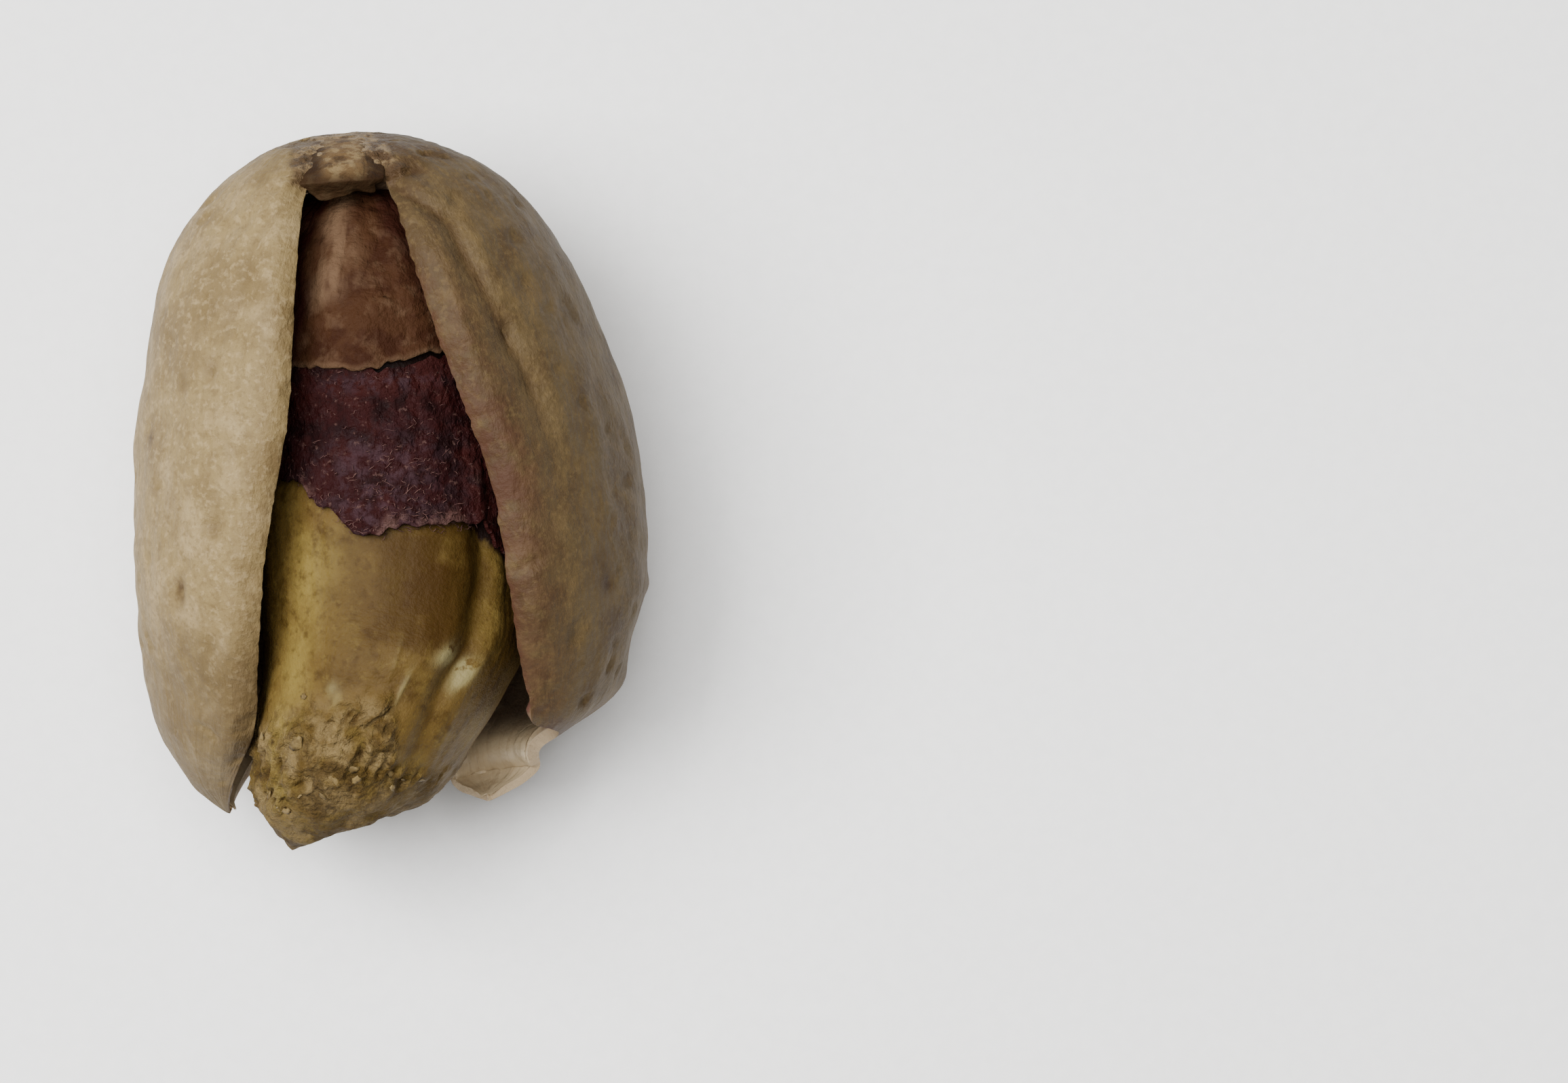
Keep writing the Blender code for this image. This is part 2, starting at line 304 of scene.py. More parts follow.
@dataclass(frozen=True)
class ShellWood:
    """Outside of the shell: lignified wood, dry and matt, with a fine mottle and faint fibres along the nut.

    The nut was dried and roasted, which left scorch marks. Its right half is browner, and darker with painted
    shade where it faces away from the light; the wood also darkens towards the left tip and the scar.
    The stalk scar is cork, with painted shade round it where the wood rolls in to the top of the gape.
    """

    ground: str = "#796744"
    shade: str = "#5b4a2d"
    light: str = "#95825f"
    browner_and_shaded: str = "#40321d"
    stain: str = "#301d0e"
    blush: str = "#40261a"
    cork: str = "#3c2b19"
    cork_light: str = "#736044"

    def make(self) -> bpy.types.Material:
        """Builds the material: mottle, fibres, pits, the browner half, painted shade, stains, blush and the
        scar's cork.

        Returns:
            The finished material.
        """
        wood = Finish("shell wood, outside", 0.62, 0.15)
        fibres = wood.along_grain(2.5)
        wood.base(self.ground)
        wood.layer(self.light, wood.speckle(1.7, 0.48, 0.64, 5.0), 0.5)
        wood.layer(self.shade, wood.speckle(2.6, 0.46, 0.62, 6.0), 0.6)
        wood.layer(self.shade, wood.speckle(0.7, 0.5, 0.68, 5.0), 0.4)
        wood.layer(self.shade, wood.speckle(0.35, 0.5, 0.7, 4.0, fibres), 0.35)
        wood.layer(self.light, wood.speckle(0.2, 0.5, 0.66, 4.0), 0.45)
        # Painted shade: the right half is laid browner and darker, as if facing away from the light; the next
        # two layers speckle it darker
        wood.layer(self.browner_and_shaded, wood.mask("browner_and_shaded"))
        wood.layer(self.stain, wood.speckle(1.5, 0.44, 0.68, 5.0, within="browner_and_shaded"), 0.5)
        wood.layer(self.shade, wood.speckle(0.9, 0.48, 0.68, 5.0, within="browner_and_shaded"), 0.5)
        wood.layer(self.shade, wood.speckle(0.16, 0.5, 0.64, 4.0), 0.4)
        # Painted shade: the stain colour is laid in a thin line down the crease beside the lip
        wood.layer(self.stain, wood.mask("groove_shade"), 0.6)
        wood.layer(self.blush, wood.speckle(0.6, 0.25, 0.62, 4.0, within="blush"), 0.85)
        wood.layer(self.stain, wood.speckle(0.4, 0.25, 0.6, within="stain"), 0.8)
        # The cork colour covers the stalk scar, and also lays painted shade round the top of the gape where
        # the wood rolls in
        wood.layer(self.cork, wood.mask("scar"), 0.9)
        wood.layer(self.cork_light, wood.speckle(0.5, 0.4, 0.56, 4.0, within="flaky"), 0.9)
        wood.relief(wood.speckle(0.6, 0.3, 0.7, 5.0, fibres), 0.03)
        wood.relief(wood.speckle(0.2, 0.3, 0.7, 4.0), 0.014)
        wood.relief(wood.speckle(0.3, 0.3, 0.7, 4.0, within="scar"), 0.08)
        return wood.done()


@dataclass(frozen=True)
class ShellLining:
    """Inside of the shell: smooth cream wood, polished by the kernel; painted shade darkens it but at the
    spout and the top.
    """

    ground: str = "#bfac8b"
    shade: str = "#8b7455"
    deep_shade: str = "#351f18"

    def make(self) -> bpy.types.Material:
        """Builds the material.

        Returns:
            The finished material.
        """
        lining = Finish("shell wood, lining", 0.45, 0.4)
        lining.base(self.ground)
        lining.layer(self.shade, lining.speckle(1.8, 0.4, 0.7, 3.0), 0.5)
        lining.layer(self.shade, lining.speckle(0.25, 0.5, 0.7, 3.0, lining.along_grain(6.0)), 0.3)
        # Painted shade: dark brown over the lining deep in the shell, leaving the spout at the tip and the
        # stalk end pale
        lining.layer(self.deep_shade, lining.speckle(1.2, 0.2, 0.5, 4.0, within="deep_shade"), 0.85)
        lining.relief(lining.speckle(0.5, 0.3, 0.7), 0.02)
        return lining.done()


@dataclass(frozen=True)
class ShellLip:
    """Edge of the shell along the gape: it parted along the suture, so it is thin, brown and rough."""

    ground: str = "#52352b"
    pale: str = "#736145"
    dark: str = "#422b1f"
    # Near-black painted shade for the rolled rim of the arch under the stalk scar
    cork: str = "#1c0f06"
    worn: str = "#aa9576"

    def make(self) -> bpy.types.Material:
        """Builds the material; under the stalk scar the edge is painted near-black, a painted shade on the
        arch's rim.

        Returns:
            The finished material.
        """
        lip = Finish("shell wood, lip", 0.6, 0.25)
        lip.base(self.ground)
        lip.layer(self.pale, lip.speckle(0.7, 0.45, 0.65), 0.6)
        lip.layer(self.dark, lip.speckle(0.3, 0.52, 0.7), 0.5)
        lip.layer(self.pale, lip.product(lip.mask("plain"), 0.8))
        lip.layer(self.worn, lip.mask("worn"), 0.85)
        # Painted shade: the rim of the arch under the stalk scar is laid near-black
        lip.layer(self.cork, lip.mask("scar"))
        lip.relief(lip.speckle(0.15, 0.3, 0.7, 3.0), 0.02)
        return lip.done()


@dataclass(frozen=True)
class KernelFlesh:
    """Bare seed leaf: waxy, oily flesh, olive and browned by roasting, pale and dry where it is broken."""

    ground: str = "#513f1d"
    light: str = "#746332"
    olive: str = "#35240b"
    pale: str = "#796f4b"
    shade: str = "#2f1d06"
    crumb: str = "#766443"
    skin: str = "#3f3018"
    under_coat: str = "#160a07"

    def make(self) -> bpy.types.Material:
        """Builds the material.

        Returns:
            The finished material.
        """
        flesh = Finish("kernel flesh", 0.6, 0.08)
        flesh.shader.inputs["Subsurface Weight"].default_value = 0.1
        flesh.shader.inputs["Subsurface Radius"].default_value = (0.9, 0.6, 0.2)
        flesh.shader.inputs["Subsurface Scale"].default_value = 0.35 * MM
        streaks = flesh.along_grain(2.5)
        flesh.base(self.ground)
        # Painted light: a paler pool along the left shoulder, which faces the light, and a paler right lobe
        flesh.layer(self.light, flesh.speckle(1.4, 0.25, 0.6, 4.0, within="light"), 0.8)
        flesh.layer(self.light, flesh.speckle(1.5, 0.47, 0.7, 4.0), 0.3)
        flesh.layer(self.olive, flesh.speckle(1.2, 0.48, 0.7, 4.0), 0.55)
        flesh.layer(self.olive, flesh.speckle(0.3, 0.5, 0.7, 4.0), 0.45)
        flesh.layer(self.light, flesh.speckle(0.22, 0.55, 0.72, 3.0), 0.25)
        flesh.layer(self.shade, flesh.speckle(2.2, 0.2, 0.5, 4.0, within="shade"), 0.85)
        # Painted shade: the olive colour darkens the crease between the seed leaves
        flesh.layer(self.olive, flesh.mask("crease"), 0.35)
        flesh.layer(self.crumb, flesh.speckle(1.1, 0.42, 0.6, 6.0, within="broken"), 0.75)
        flesh.layer(self.skin, flesh.speckle(0.8, 0.5, 0.62, 6.0, within="broken"), 0.8)
        flesh.layer(self.skin, flesh.mask("skin"), 0.75)
        flesh.layer(self.pale, flesh.speckle(0.5, 0.36, 0.48, 4.0, within="pale"), 0.9)
        # Painted shade: the sunk hollows of the broken end are darkened
        flesh.layer(self.olive, flesh.mask("hollow"), 0.8)
        flesh.layer(self.under_coat, flesh.mask("under_coat"))
        flesh.relief(flesh.speckle(0.5, 0.3, 0.7, 4.0, streaks), 0.012)
        flesh.relief(flesh.speckle(0.12, 0.3, 0.7, 3.0), 0.01)
        flesh.relief(flesh.speckle(0.25, 0.3, 0.7, 5.0, within="broken"), 0.1)
        return flesh.done((flesh.mask("broken"), 0.55, 0.75))


@dataclass(frozen=True)
class CoatSkin:
    """Seed coat: papery purple-black skin, dried on to the flesh in wrinkles and frayed at its torn edge."""

    ground: str = "#230b0b"
    dark: str = "#100404"
    red: str = "#2b0e0b"
    dust_and_sheen: str = "#352327"
    fibre: str = "#523c36"

    def make(self) -> bpy.types.Material:
        """Builds the material.

        Returns:
            The finished material.
        """
        coat = Finish("seed coat", 0.65, 0.07)
        strands = coat.along_grain(2.0)
        coat.base(self.ground)
        coat.layer(self.red, coat.mask("red"), 0.6)
        coat.layer(self.dark, coat.speckle(0.7, 0.42, 0.62, 5.0), 0.8)
        coat.layer(self.red, coat.speckle(0.5, 0.5, 0.66, 4.0, strands), 0.6)
        # Grey on the crown of the coat: partly dust, partly a painted sheen where it faces the light
        coat.layer(self.dust_and_sheen, coat.speckle(0.35, 0.42, 0.62, 4.0, within="dust_and_sheen"), 0.8)
        coat.layer(self.fibre, coat.speckle(0.18, 0.6, 0.7, 4.0), 0.5)
        coat.layer(self.fibre, coat.speckle(0.9, 0.46, 0.58, 5.0, within="frayed"), 0.7)
        coat.relief(coat.speckle(0.4, 0.3, 0.7, 5.0), 0.06)
        coat.relief(coat.speckle(0.13, 0.4, 0.7, 3.0, strands), 0.025)
        return coat.done((coat.speckle(0.6, 0.4, 0.7), 0.55, 0.8))


@dataclass(frozen=True)
class CapSkin:
    """Cap of the coat at the stalk end: thick fibrous light brown skin, maroon on the right, painted shade
    under the left lip.
    """

    ground: str = "#352012"
    light: str = "#594533"
    dark: str = "#261108"
    maroon: str = "#210a07"

    def make(self) -> bpy.types.Material:
        """Builds the material.

        Returns:
            The finished material.
        """
        cap = Finish("seed coat, cap", 0.65, 0.05)
        strands = cap.along_grain(2.5)
        cap.base(self.ground)
        cap.layer(self.dark, cap.speckle(1.1, 0.44, 0.62, 5.0), 0.7)
        cap.layer(self.light, cap.speckle(0.7, 0.5, 0.66, 4.0), 0.3)
        # A pale fibrous streak down the ridge on the cap's left, partly a painted highlight where the ridge
        # faces the light
        cap.layer(self.light, cap.speckle(0.5, 0.28, 0.6, 3.0, strands, within="streak_and_highlight"), 0.9)
        # Maroon is the skin's own colour on the right; on the left it is painted shade where the cap turns
        # down under the lip
        cap.layer(self.maroon, cap.speckle(0.9, 0.2, 0.5, 4.0, within="maroon"), 0.9)
        cap.layer(self.light, cap.mask("edge"), 0.5)
        cap.relief(cap.speckle(0.45, 0.3, 0.7, 5.0), 0.05)
        cap.relief(cap.speckle(0.14, 0.4, 0.7, 3.0, strands), 0.012)
        return cap.done()


@dataclass(frozen=True)
class Cork:
    """Stub of the stalk: pale crumbly cork, with painted shade in its hollows and darker towards its edges.
    """

    ground: str = "#57442c"
    light: str = "#736144"
    hollow: str = "#221409"

    def make(self) -> bpy.types.Material:
        """Builds the material.

        Returns:
            The finished material.
        """
        cork = Finish("stalk scar cork", 0.7, 0.06)
        cork.base(self.ground)
        cork.layer(self.light, cork.speckle(0.4, 0.48, 0.62, 4.0), 0.8)
        # Painted shade in the hollows between the lumps; the knob also darkens towards its sides and lower
        # edge
        cork.layer(self.hollow, cork.mask("hollow"), 0.9)
        cork.layer(self.hollow, cork.speckle(0.6, 0.5, 0.64, 5.0), 0.6)
        cork.relief(cork.speckle(0.35, 0.3, 0.7, 4.0), 0.03)
        return cork.done()


@dataclass(frozen=True)
class Dry:
    """Torn fibres of the coat and chips of flesh: broken plant tissue that has dried pale and matt."""

    name: str
    ground: str
    shade: str

    def make(self) -> bpy.types.Material:
        """Builds the material.

        Returns:
            The finished material.
        """
        dry = Finish(self.name, 0.65, 0.25)
        dry.base(self.ground)
        dry.layer(self.shade, dry.speckle(0.35, 0.42, 0.62, 3.0), 0.7)
        dry.relief(dry.speckle(0.12, 0.3, 0.7), 0.01)
        return dry.done()


@dataclass
class Stations:
    """Where each vertex of a grown piece stands, and the masks that its material reads."""

    axial: list[float] = field(default_factory=list)
    turn: list[float] = field(default_factory=list)
    masks: dict[str, list[float]] = field(default_factory=dict)

    def add(self, axial: float, turn: float, masks: dict[str, float]) -> None:
        """Notes the next vertex.

        Args:
            axial: its station along the nut.
            turn: its turn from the gape, in radians.
            masks: its mask values by name.
        """
        self.axial.append(axial)
        self.turn.append(turn)
        for name, value in masks.items():
            self.masks.setdefault(name, []).append(min(max(value, 0.0), 1.0))

    def write(self, mesh: bpy.types.Mesh, girth_mm: float, length_mm: float) -> None:
        """Writes the grain coordinates, in metres, and the masks to a mesh.

        Args:
            mesh: the mesh whose vertices these are, in order.
            girth_mm: radius that a turn is measured on.
            length_mm: length of one axial unit.
        """
        grain = mesh.attributes.new("grain", "FLOAT_VECTOR", "POINT")
        for index, (axial, turn) in enumerate(zip(self.axial, self.turn)):
            grain.data[index].vector = (turn * girth_mm * MM, axial * length_mm * MM, 0.0)
        for name, values in self.masks.items():
            mesh.attributes.new(name, "FLOAT", "POINT").data.foreach_set("value", values)


def finished_object(
    name: str, surface: bmesh.types.BMesh, finishes: list[bpy.types.Material], replaced: str | None
) -> bpy.types.Object:
    """Makes a bmesh a piece of the nut that rides on its body.

    Args:
        name: the piece's name.
        surface: its mesh, in metres; it is freed.
        finishes: its materials.
        replaced: the CAD node that it stands for, if any.

    Returns:
        The piece.
    """
    mesh = bpy.data.meshes.new(name)
    surface.to_mesh(mesh)
    surface.free()
    mesh.shade_smooth()
    for made in finishes:
        mesh.materials.append(made)
    piece = bpy.data.objects.new(name, mesh)
    bpy.context.scene.collection.objects.link(piece)
    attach(piece, BODY)
    if replaced:
        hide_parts(replaced)
    LOG.info("%s: %d faces before modifiers", name, len(mesh.polygons))
    return piece


def face_outwards(surface: bmesh.types.BMesh) -> None:
    """Turns all faces of a mesh outwards."""
    surface.normal_update()
    bmesh.ops.recalc_face_normals(surface, faces=surface.faces)


def sphere_station(point: Vector) -> tuple[float, float]:
    """Station of a point of the unit sphere whose poles are on Z.

    Args:
        point: the point.

    Returns:
        Axial station, 1 at the scar and -1 at the tip, and share of the half turn, 0 at the gape (+Y).
    """
    polar = math.acos(min(max(point.z / point.length, -1.0), 1.0))
    share = math.atan2(abs(point.x), point.y) / math.pi
    if polar <= math.pi / 2:
        return math.cos(polar), share
    return (2.0 - 2.0 * polar / math.pi) ** TIP_CROWDING - 1.0, share


@dataclass(frozen=True)
class Mark:
    """A local mark on the shell or on the kernel.

    Args:
        axial: station along the piece.
        turn: turn from the gape, in radians, positive on the right half.
        length: reach along the piece, in axial units.
        width: reach across, in radians.
        height: height of the mark in millimetres, negative for a dent.
        stain: strength of its stain, brown on the shell and pale on the kernel; it is flat where over 1.
    """

    axial: float
    turn: float
    length: float
    width: float
    height: float
    stain: float

    def weight(self, axial: float, turn: float) -> float:
        """How much of the mark is at a station.

        Args:
            axial: station along the nut.
            turn: signed turn from the gape, in radians.

        Returns:
            1 in its middle, and next to nothing past its reach.
        """
        across = (turn - self.turn) / self.width
        along = (axial - self.axial) / self.length
        distance = across * across + along * along
        return math.exp(-distance) if distance < 9.0 else 0.0


@dataclass(frozen=True)
class HalfForm:
    """Shape of one half of the shell, in millimetres where nothing else is said.

    Args:
        thickness: its thickness while the shell is closed.
        tip_powers: powers of the curve by which it narrows towards the tip.
        opening: how far it is sprung open, in degrees.
        crease: depth of the crease beside the lip, and the station where it starts.
        lip_wander: wander of the lip from the suture as (station, reach, angle in radians).
        swells: broad swells of the flank as (station, reach, height).
        tip_hook: how far the underside of the tip is drawn in.
        tip_flare: how far the tip stands out.
        tip_shorter: how far the tip stays back.
    """

    thickness: float
    tip_powers: tuple[float, float]
    opening: float
    crease: tuple[float, float]
    lip_wander: tuple[tuple[float, float, float], ...] = ()
    swells: tuple[tuple[float, float, float], ...] = ()
    tip_hook: float = 0.0
    tip_flare: float = 0.0
    tip_shorter: float = 0.0


SHARED_FORM = HalfForm(thickness=4.97, tip_powers=(2.74, 0.84), opening=13.3, crease=(0.14, 0.1))
LEFT_FORM = replace(
    SHARED_FORM,
    lip_wander=((0.24, 0.32, -0.075), (-0.6, 0.1, 0.03)),
    swells=((0.5, 0.15, 0.13), (-0.3, 0.14, -0.15), (-0.68, 0.13, 0.3)),
    tip_hook=-0.6,
    tip_flare=1.1,
    tip_shorter=0.3,
)
RIGHT_FORM = HalfForm(
    thickness=5.5,
    tip_powers=(2.92, 0.745),
    opening=17.2,
    crease=(0.34, -0.2),
    lip_wander=((-0.04, 0.28, 0.068),),
    swells=((0.02, 0.22, 0.26), (-0.76, 0.08, 0.55)),
    tip_hook=1.8,
)


@dataclass
class GrownShell:
    """The woody shell: two halves, one piece from the scar down to where the back suture is split."""

    half_length: float = 9.78
    half_depth: float = 6.2
    forms: dict[Half, HalfForm] = field(
        default_factory=lambda: {Half.RIGHT: RIGHT_FORM, Half.LEFT: LEFT_FORM, Half.SHARED: SHARED_FORM}
    )
    stalk_end_powers: tuple[float, float] = (2.7, 0.4)
    wall: float = 0.85
    lip_wall_share: float = 0.4
    tip_wall_share: float = 0.25
    lip_roll_depth: float = 0.42
    lip_roll_reach: float = 1.1
    back_split_at: float = 0.32
    gape_top_at: float = 0.875
    belly: float = 0.48
    settles_over: float = 4.5
    flank_waves: Waves = ((0.09, 0.42), (0.008, 4.5))
    scar_lumps: Waves = ((0.2, 1.4), (0.16, 3.0), (0.08, 6.5))
    worn_edge: float = 0.12
    grain_girth: float = 5.5
    segments: int = 176
    rings: int = 208
    marks: tuple[Mark, ...] = (
        Mark(0.31, -0.43, 0.03, 0.04, -0.2, 0.7),
        Mark(0.33, -0.44, 0.012, 0.014, 0.12, 0.0),
        Mark(0.26, -0.62, 0.05, 0.05, -0.06, 0.35),
        Mark(0.5, -0.5, 0.06, 0.06, -0.05, 0.3),
        Mark(0.09, -0.9, 0.016, 0.025, -0.04, 1.6),
        Mark(-0.13, -0.3, 0.03, 0.05, -0.2, 0.6),
        Mark(-0.1, -0.62, 0.05, 0.08, -0.04, 0.3),
        Mark(-0.33, -0.53, 0.04, 0.045, -0.18, 1.2),
        Mark(-0.5, -0.5, 0.07, 0.07, -0.04, 0.35),
        Mark(-0.57, -0.3, 0.014, 0.02, 0.07, 0.0),
        Mark(-0.68, -0.32, 0.05, 0.06, 0.0, 0.3),
        Mark(0.72, -0.85, 0.05, 0.12, 0.04, 0.0),
        Mark(0.0, 0.1, 0.1, 0.07, 0.0, 0.55),
        Mark(-0.43, 0.64, 0.02, 0.03, -0.05, 1.5),
        Mark(-0.39, 0.6, 0.06, 0.07, 0.0, 0.8),
        Mark(-0.5, 1.5, 0.045, 0.15, 0.22, 0.0),
        Mark(-0.35, 0.21, 0.012, 0.014, 0.05, 0.0),
        Mark(-0.48, 0.16, 0.02, 0.03, -0.04, 0.8),
        Mark(-0.58, 0.3, 0.1, 0.06, -0.03, 0.4),
        Mark(-0.7, 0.5, 0.03, 0.06, 0.0, 0.4),
        Mark(0.3, 0.95, 0.05, 0.035, -0.02, 0.5),
        Mark(0.08, 0.9, 0.06, 0.04, -0.02, 0.4),
        Mark(-0.15, 0.72, 0.03, 0.03, 0.0, 0.5),
        Mark(0.86, 0.3, 0.02, 0.09, -0.14, 0.8),
    )

    def fullness(self, axial: float, half: Half) -> float:
        """Share of the full girth at a station; the right tip has a waist and rounds out as a spout.

        Args:
            axial: station along the nut.
            half: the half of the shell.

        Returns:
            The share, from 0 to 1.
        """
        if axial >= 0.0:
            power, root = self.stalk_end_powers
            return max(1.0 - axial**power, 0.0) ** root
        power, root = self.forms[half].tip_powers
        girth = max(1.0 - abs(axial) ** power, 0.0) ** root
        if half is Half.RIGHT:
            girth -= 0.12 * bump(axial, -0.875, 0.055)
            girth += 0.11 * bump(axial, -0.965, 0.05) * smooth((axial + 1.0) / 0.02)
        return girth

    def lip_setback(self, axial: float, half: Half) -> float:
        """Angle by which the lip stands back from the suture, with the fine waviness of a split edge.

        Args:
            axial: station along the nut.
            half: the half of the shell.

        Returns:
            The angle, in radians.
        """
        if half is Half.SHARED or axial > self.gape_top_at:
            return 0.0
        below = self.gape_top_at - axial
        back = 0.054 * (1.0 - smooth(below / 0.25))
        for middle, reach, angle in self.forms[half].lip_wander:
            back += angle * bump(axial, middle, reach)
        wavy = 0.014 * waver(axial * 14.0, half.value * 3.0, 0.0)
        wavy += 0.012 * waver(axial * 40.0, half.value * 3.0, 4.0)
        back += wavy * (1.0 if half is Half.RIGHT else 0.6) * smooth(below / 0.05)
        if half is Half.RIGHT:
            return back + 1.5 * smooth((-0.75 - axial) / 0.2)
        return back + 0.32 * smooth((-0.887 - axial) / 0.33)

    def lip_roll(self, axial: float, turn: float, half: Half) -> float:
        """Depth, in millimetres, by which the outer face curls in towards the edge of the gape.

        Args:
            axial: station along the nut.
            turn: turn from the gape, in radians.
            half: the half of the shell.

        Returns:
            The depth.
        """
        across = (turn - self.lip_setback(axial, half)) * self.half_depth * self.fullness(axial, half)
        past_top = max(axial - self.gape_top_at, 0.0) * self.half_length
        left = 1.0 - min(math.hypot(across, past_top) / self.lip_roll_reach, 1.0)
        tip = smooth((axial + 0.75) / 0.15) if half is Half.RIGHT else smooth((axial + 0.97) / 0.2)
        return self.lip_roll_depth * left * left * tip

    def crease(self, axial: float, half: Half) -> tuple[float, float]:
        """The long crease beside the lip.

        Args:
            axial: station along the nut.
            half: the half of the shell.

        Returns:
            Its turn, and how marked it is from 0 to 1.
        """
        at = 0.43 - 0.13 * smooth((axial - 0.1) / 0.55) - 0.22 * smooth((axial - 0.67) / 0.2)
        return at, smooth((axial - self.forms[half].crease[1]) / 0.45) * smooth((0.95 - axial) / 0.12)

    def relief(self, axial: float, turn: float, half: Half, point: Vector) -> float:
        """Height of the outer face over the smooth egg, in millimetres.

        Args:
            axial: station along the nut.
            turn: turn from the gape, in radians.
            half: the half of the shell.
            point: the point of the smooth form, in the nut's frame.

        Returns:
            The height, negative for a hollow.
        """
        form = self.forms[half]
        height = lumpy(point, self.flank_waves)
        height += 0.06 * noise.noise(point * 1.1 + Vector((7.0, 0.0, 0.0)))
        height -= 0.09 * smooth((noise.noise(point * 1.5 + Vector((0.0, 9.0, 0.0))) - 0.32) / 0.3)
        height += 0.03 * waver(turn * 6.0, axial * 2.4, half.value * 5.0)
        height += 0.012 * waver(turn * 17.0, axial * 7.0, half.value * 5.0)
        at, marked = self.crease(axial, half)
        depth = form.crease[0] * marked
        height -= depth * (0.4 * bump(turn, at, 0.12) + 0.2 * bump(turn, at, 0.04))
        height += 0.25 * depth * bump(turn, at - 0.2, 0.14) + 0.2 * depth * bump(turn, at + 0.11, 0.05)
        for middle, reach, swell in form.swells:
            height += swell * bump(axial, middle, reach) * bump(turn, math.pi / 2, 0.6)
        height += self.belly * bump(axial, 0.26, 0.26) * smooth((turn - 1.9) / 0.8)
        for mark in self.marks:
            height += mark.height * mark.weight(axial, half.value * turn)
        return height + self.scar_relief(axial, turn, point)

    def scar(self, axial: float, turn: float, across: float) -> float:
        """How corky the surface is: 1 on the stalk scar, a narrow patch over the top of the gape.

        Args:
            axial: station along the nut.
            turn: turn from the gape.
            across: distance from the sutures' plane, in millimetres.

        Returns:
            A share from 0 to 1.
        """
        ragged = 0.35 * waver(across * 1.7, axial * 20.0, 5.0)
        narrow = smooth((0.9 + ragged - abs(across)) / 0.4)
        return narrow * smooth((axial - 0.84) / 0.03) * smooth((2.0 - turn) / 0.6)

    def crust(self, axial: float, turn: float, point: Vector) -> float:
        """How much of the flaky bark is left round the scar, from 0 to 1: patches with sharp edges."""
        near = smooth((axial - 0.86) / 0.06) * smooth((2.6 - abs(point.x)) / 0.8) * smooth((1.8 - turn) / 0.5)
        return near * smooth((noise.noise(point * 1.1 + Vector((0.0, 3.0, 1.0))) + 0.08) / 0.12)

    def scar_relief(self, axial: float, turn: float, point: Vector) -> float:
        """Relief of the stalk scar and of the flaky bark round it, in millimetres.

        Args:
            axial: station along the nut.
            turn: turn from the gape, in radians.
            point: the point of the smooth form, in the nut's frame.

        Returns:
            The height.
        """
        if axial < 0.82:
            return 0.0
        lumps = lumpy(point, self.scar_lumps)
        corky = self.scar(axial, turn, point.x)
        crusty = 0.06 * self.crust(axial, turn, point) + 0.25 * lumps * smooth((axial - 0.9) / 0.05)
        return (1.0 - corky) * crusty + corky * (0.02 + 0.5 * lumps)

    def sprung_open(self, point: Vector, half: Half) -> Vector:
        """Turns a half outwards about the line from the scar to the end of the back split.

        Args:
            point: a point of the closed shell.
            half: the half of the shell.

        Returns:
            The point after the half has sprung open.
        """
        scar = Vector((self.half_length, 0.0))
        girth = self.fullness(self.back_split_at, half)
        split = Vector((self.half_length * self.back_split_at, -self.half_depth * girth))
        along = (split - scar).normalized()
        away = Vector((along.y, -along.x))
        offset = point.yz - scar
        reach = offset.dot(away)
        if reach <= 0.0:
            return point.copy()
        opening = math.radians(self.forms[half].opening)
        settled = smooth(reach / self.settles_over)
        side = half.value
        out = point.x * (1.0 - settled * (1.0 - math.cos(opening))) + side * reach * math.sin(opening)
        reach -= settled * (reach * (1.0 - math.cos(opening)) + side * point.x * math.sin(opening))
        place = scar + along * offset.dot(along) + away * reach
        return Vector((out, place.x, place.y))

    def point(self, axial: float, share: float, half: Half) -> tuple[Vector, float]:
        """A point of the outer face.

        Args:
            axial: station along the nut.
            share: share of the way from the lip to the back suture.
            half: the half of the shell.

        Returns:
            The point in the nut's frame, and its turn in radians.
        """
        form = self.forms[half]
        turn = math.pi * share**1.25
        setback = self.lip_setback(axial, half)
        turn = setback + turn * (1.0 - setback / math.pi)
        girth = self.fullness(axial, half)
        side = half.value
        across = side * form.thickness * girth * math.sin(turn)
        point = Vector((across, self.half_length * axial, self.half_depth * girth * math.cos(turn)))
        outwards = Vector((side * math.sin(turn), 0.4 * axial, math.cos(turn))).normalized()
        point += outwards * (self.relief(axial, turn, half, point) - self.lip_roll(axial, turn, half))
        if half is Half.SHARED:
            return point, turn
        point = self.sprung_open(point, half)
        low = min(max((3.0 - point.z) / 6.0, 0.0), 1.0)
        point.x -= side * form.tip_hook * smooth((-axial - 0.35) / 0.65) * low
        point.x += side * form.tip_flare * smooth((-axial - 0.6) / 0.4)
        point.y += form.tip_shorter * smooth((-axial - 0.7) / 0.3)
        return point, turn

    def on_suture(self, vert: bmesh.types.BMVert, back: bool) -> bool:
        """True if a vertex of the sphere lies on the back meridian, or else on the gape's.

        Args:
            vert: the vertex.
            back: whether the back meridian is meant.

        Returns:
            Whether it lies there; a pole lies on both.
        """
        if math.hypot(vert.co.x, vert.co.y) < ON_SEAM:
            return True
        return abs(vert.co.x) < ON_SEAM and (vert.co.y < 0.0) == back

    def split_sutures(self, sphere: bmesh.types.BMesh) -> None:
        """Opens the sphere along the gape, over the tip and part of the way up the back.

        Args:
            sphere: the mesh to open.
        """
        cut = []
        for edge in sphere.edges:
            for back, top in ((False, self.gape_top_at), (True, self.back_split_at)):
                below = all(sphere_station(vert.co)[0] <= top for vert in edge.verts)
                if below and all(self.on_suture(vert, back) for vert in edge.verts):
                    cut.append(edge)
        bmesh.ops.split_edges(sphere, edges=cut)

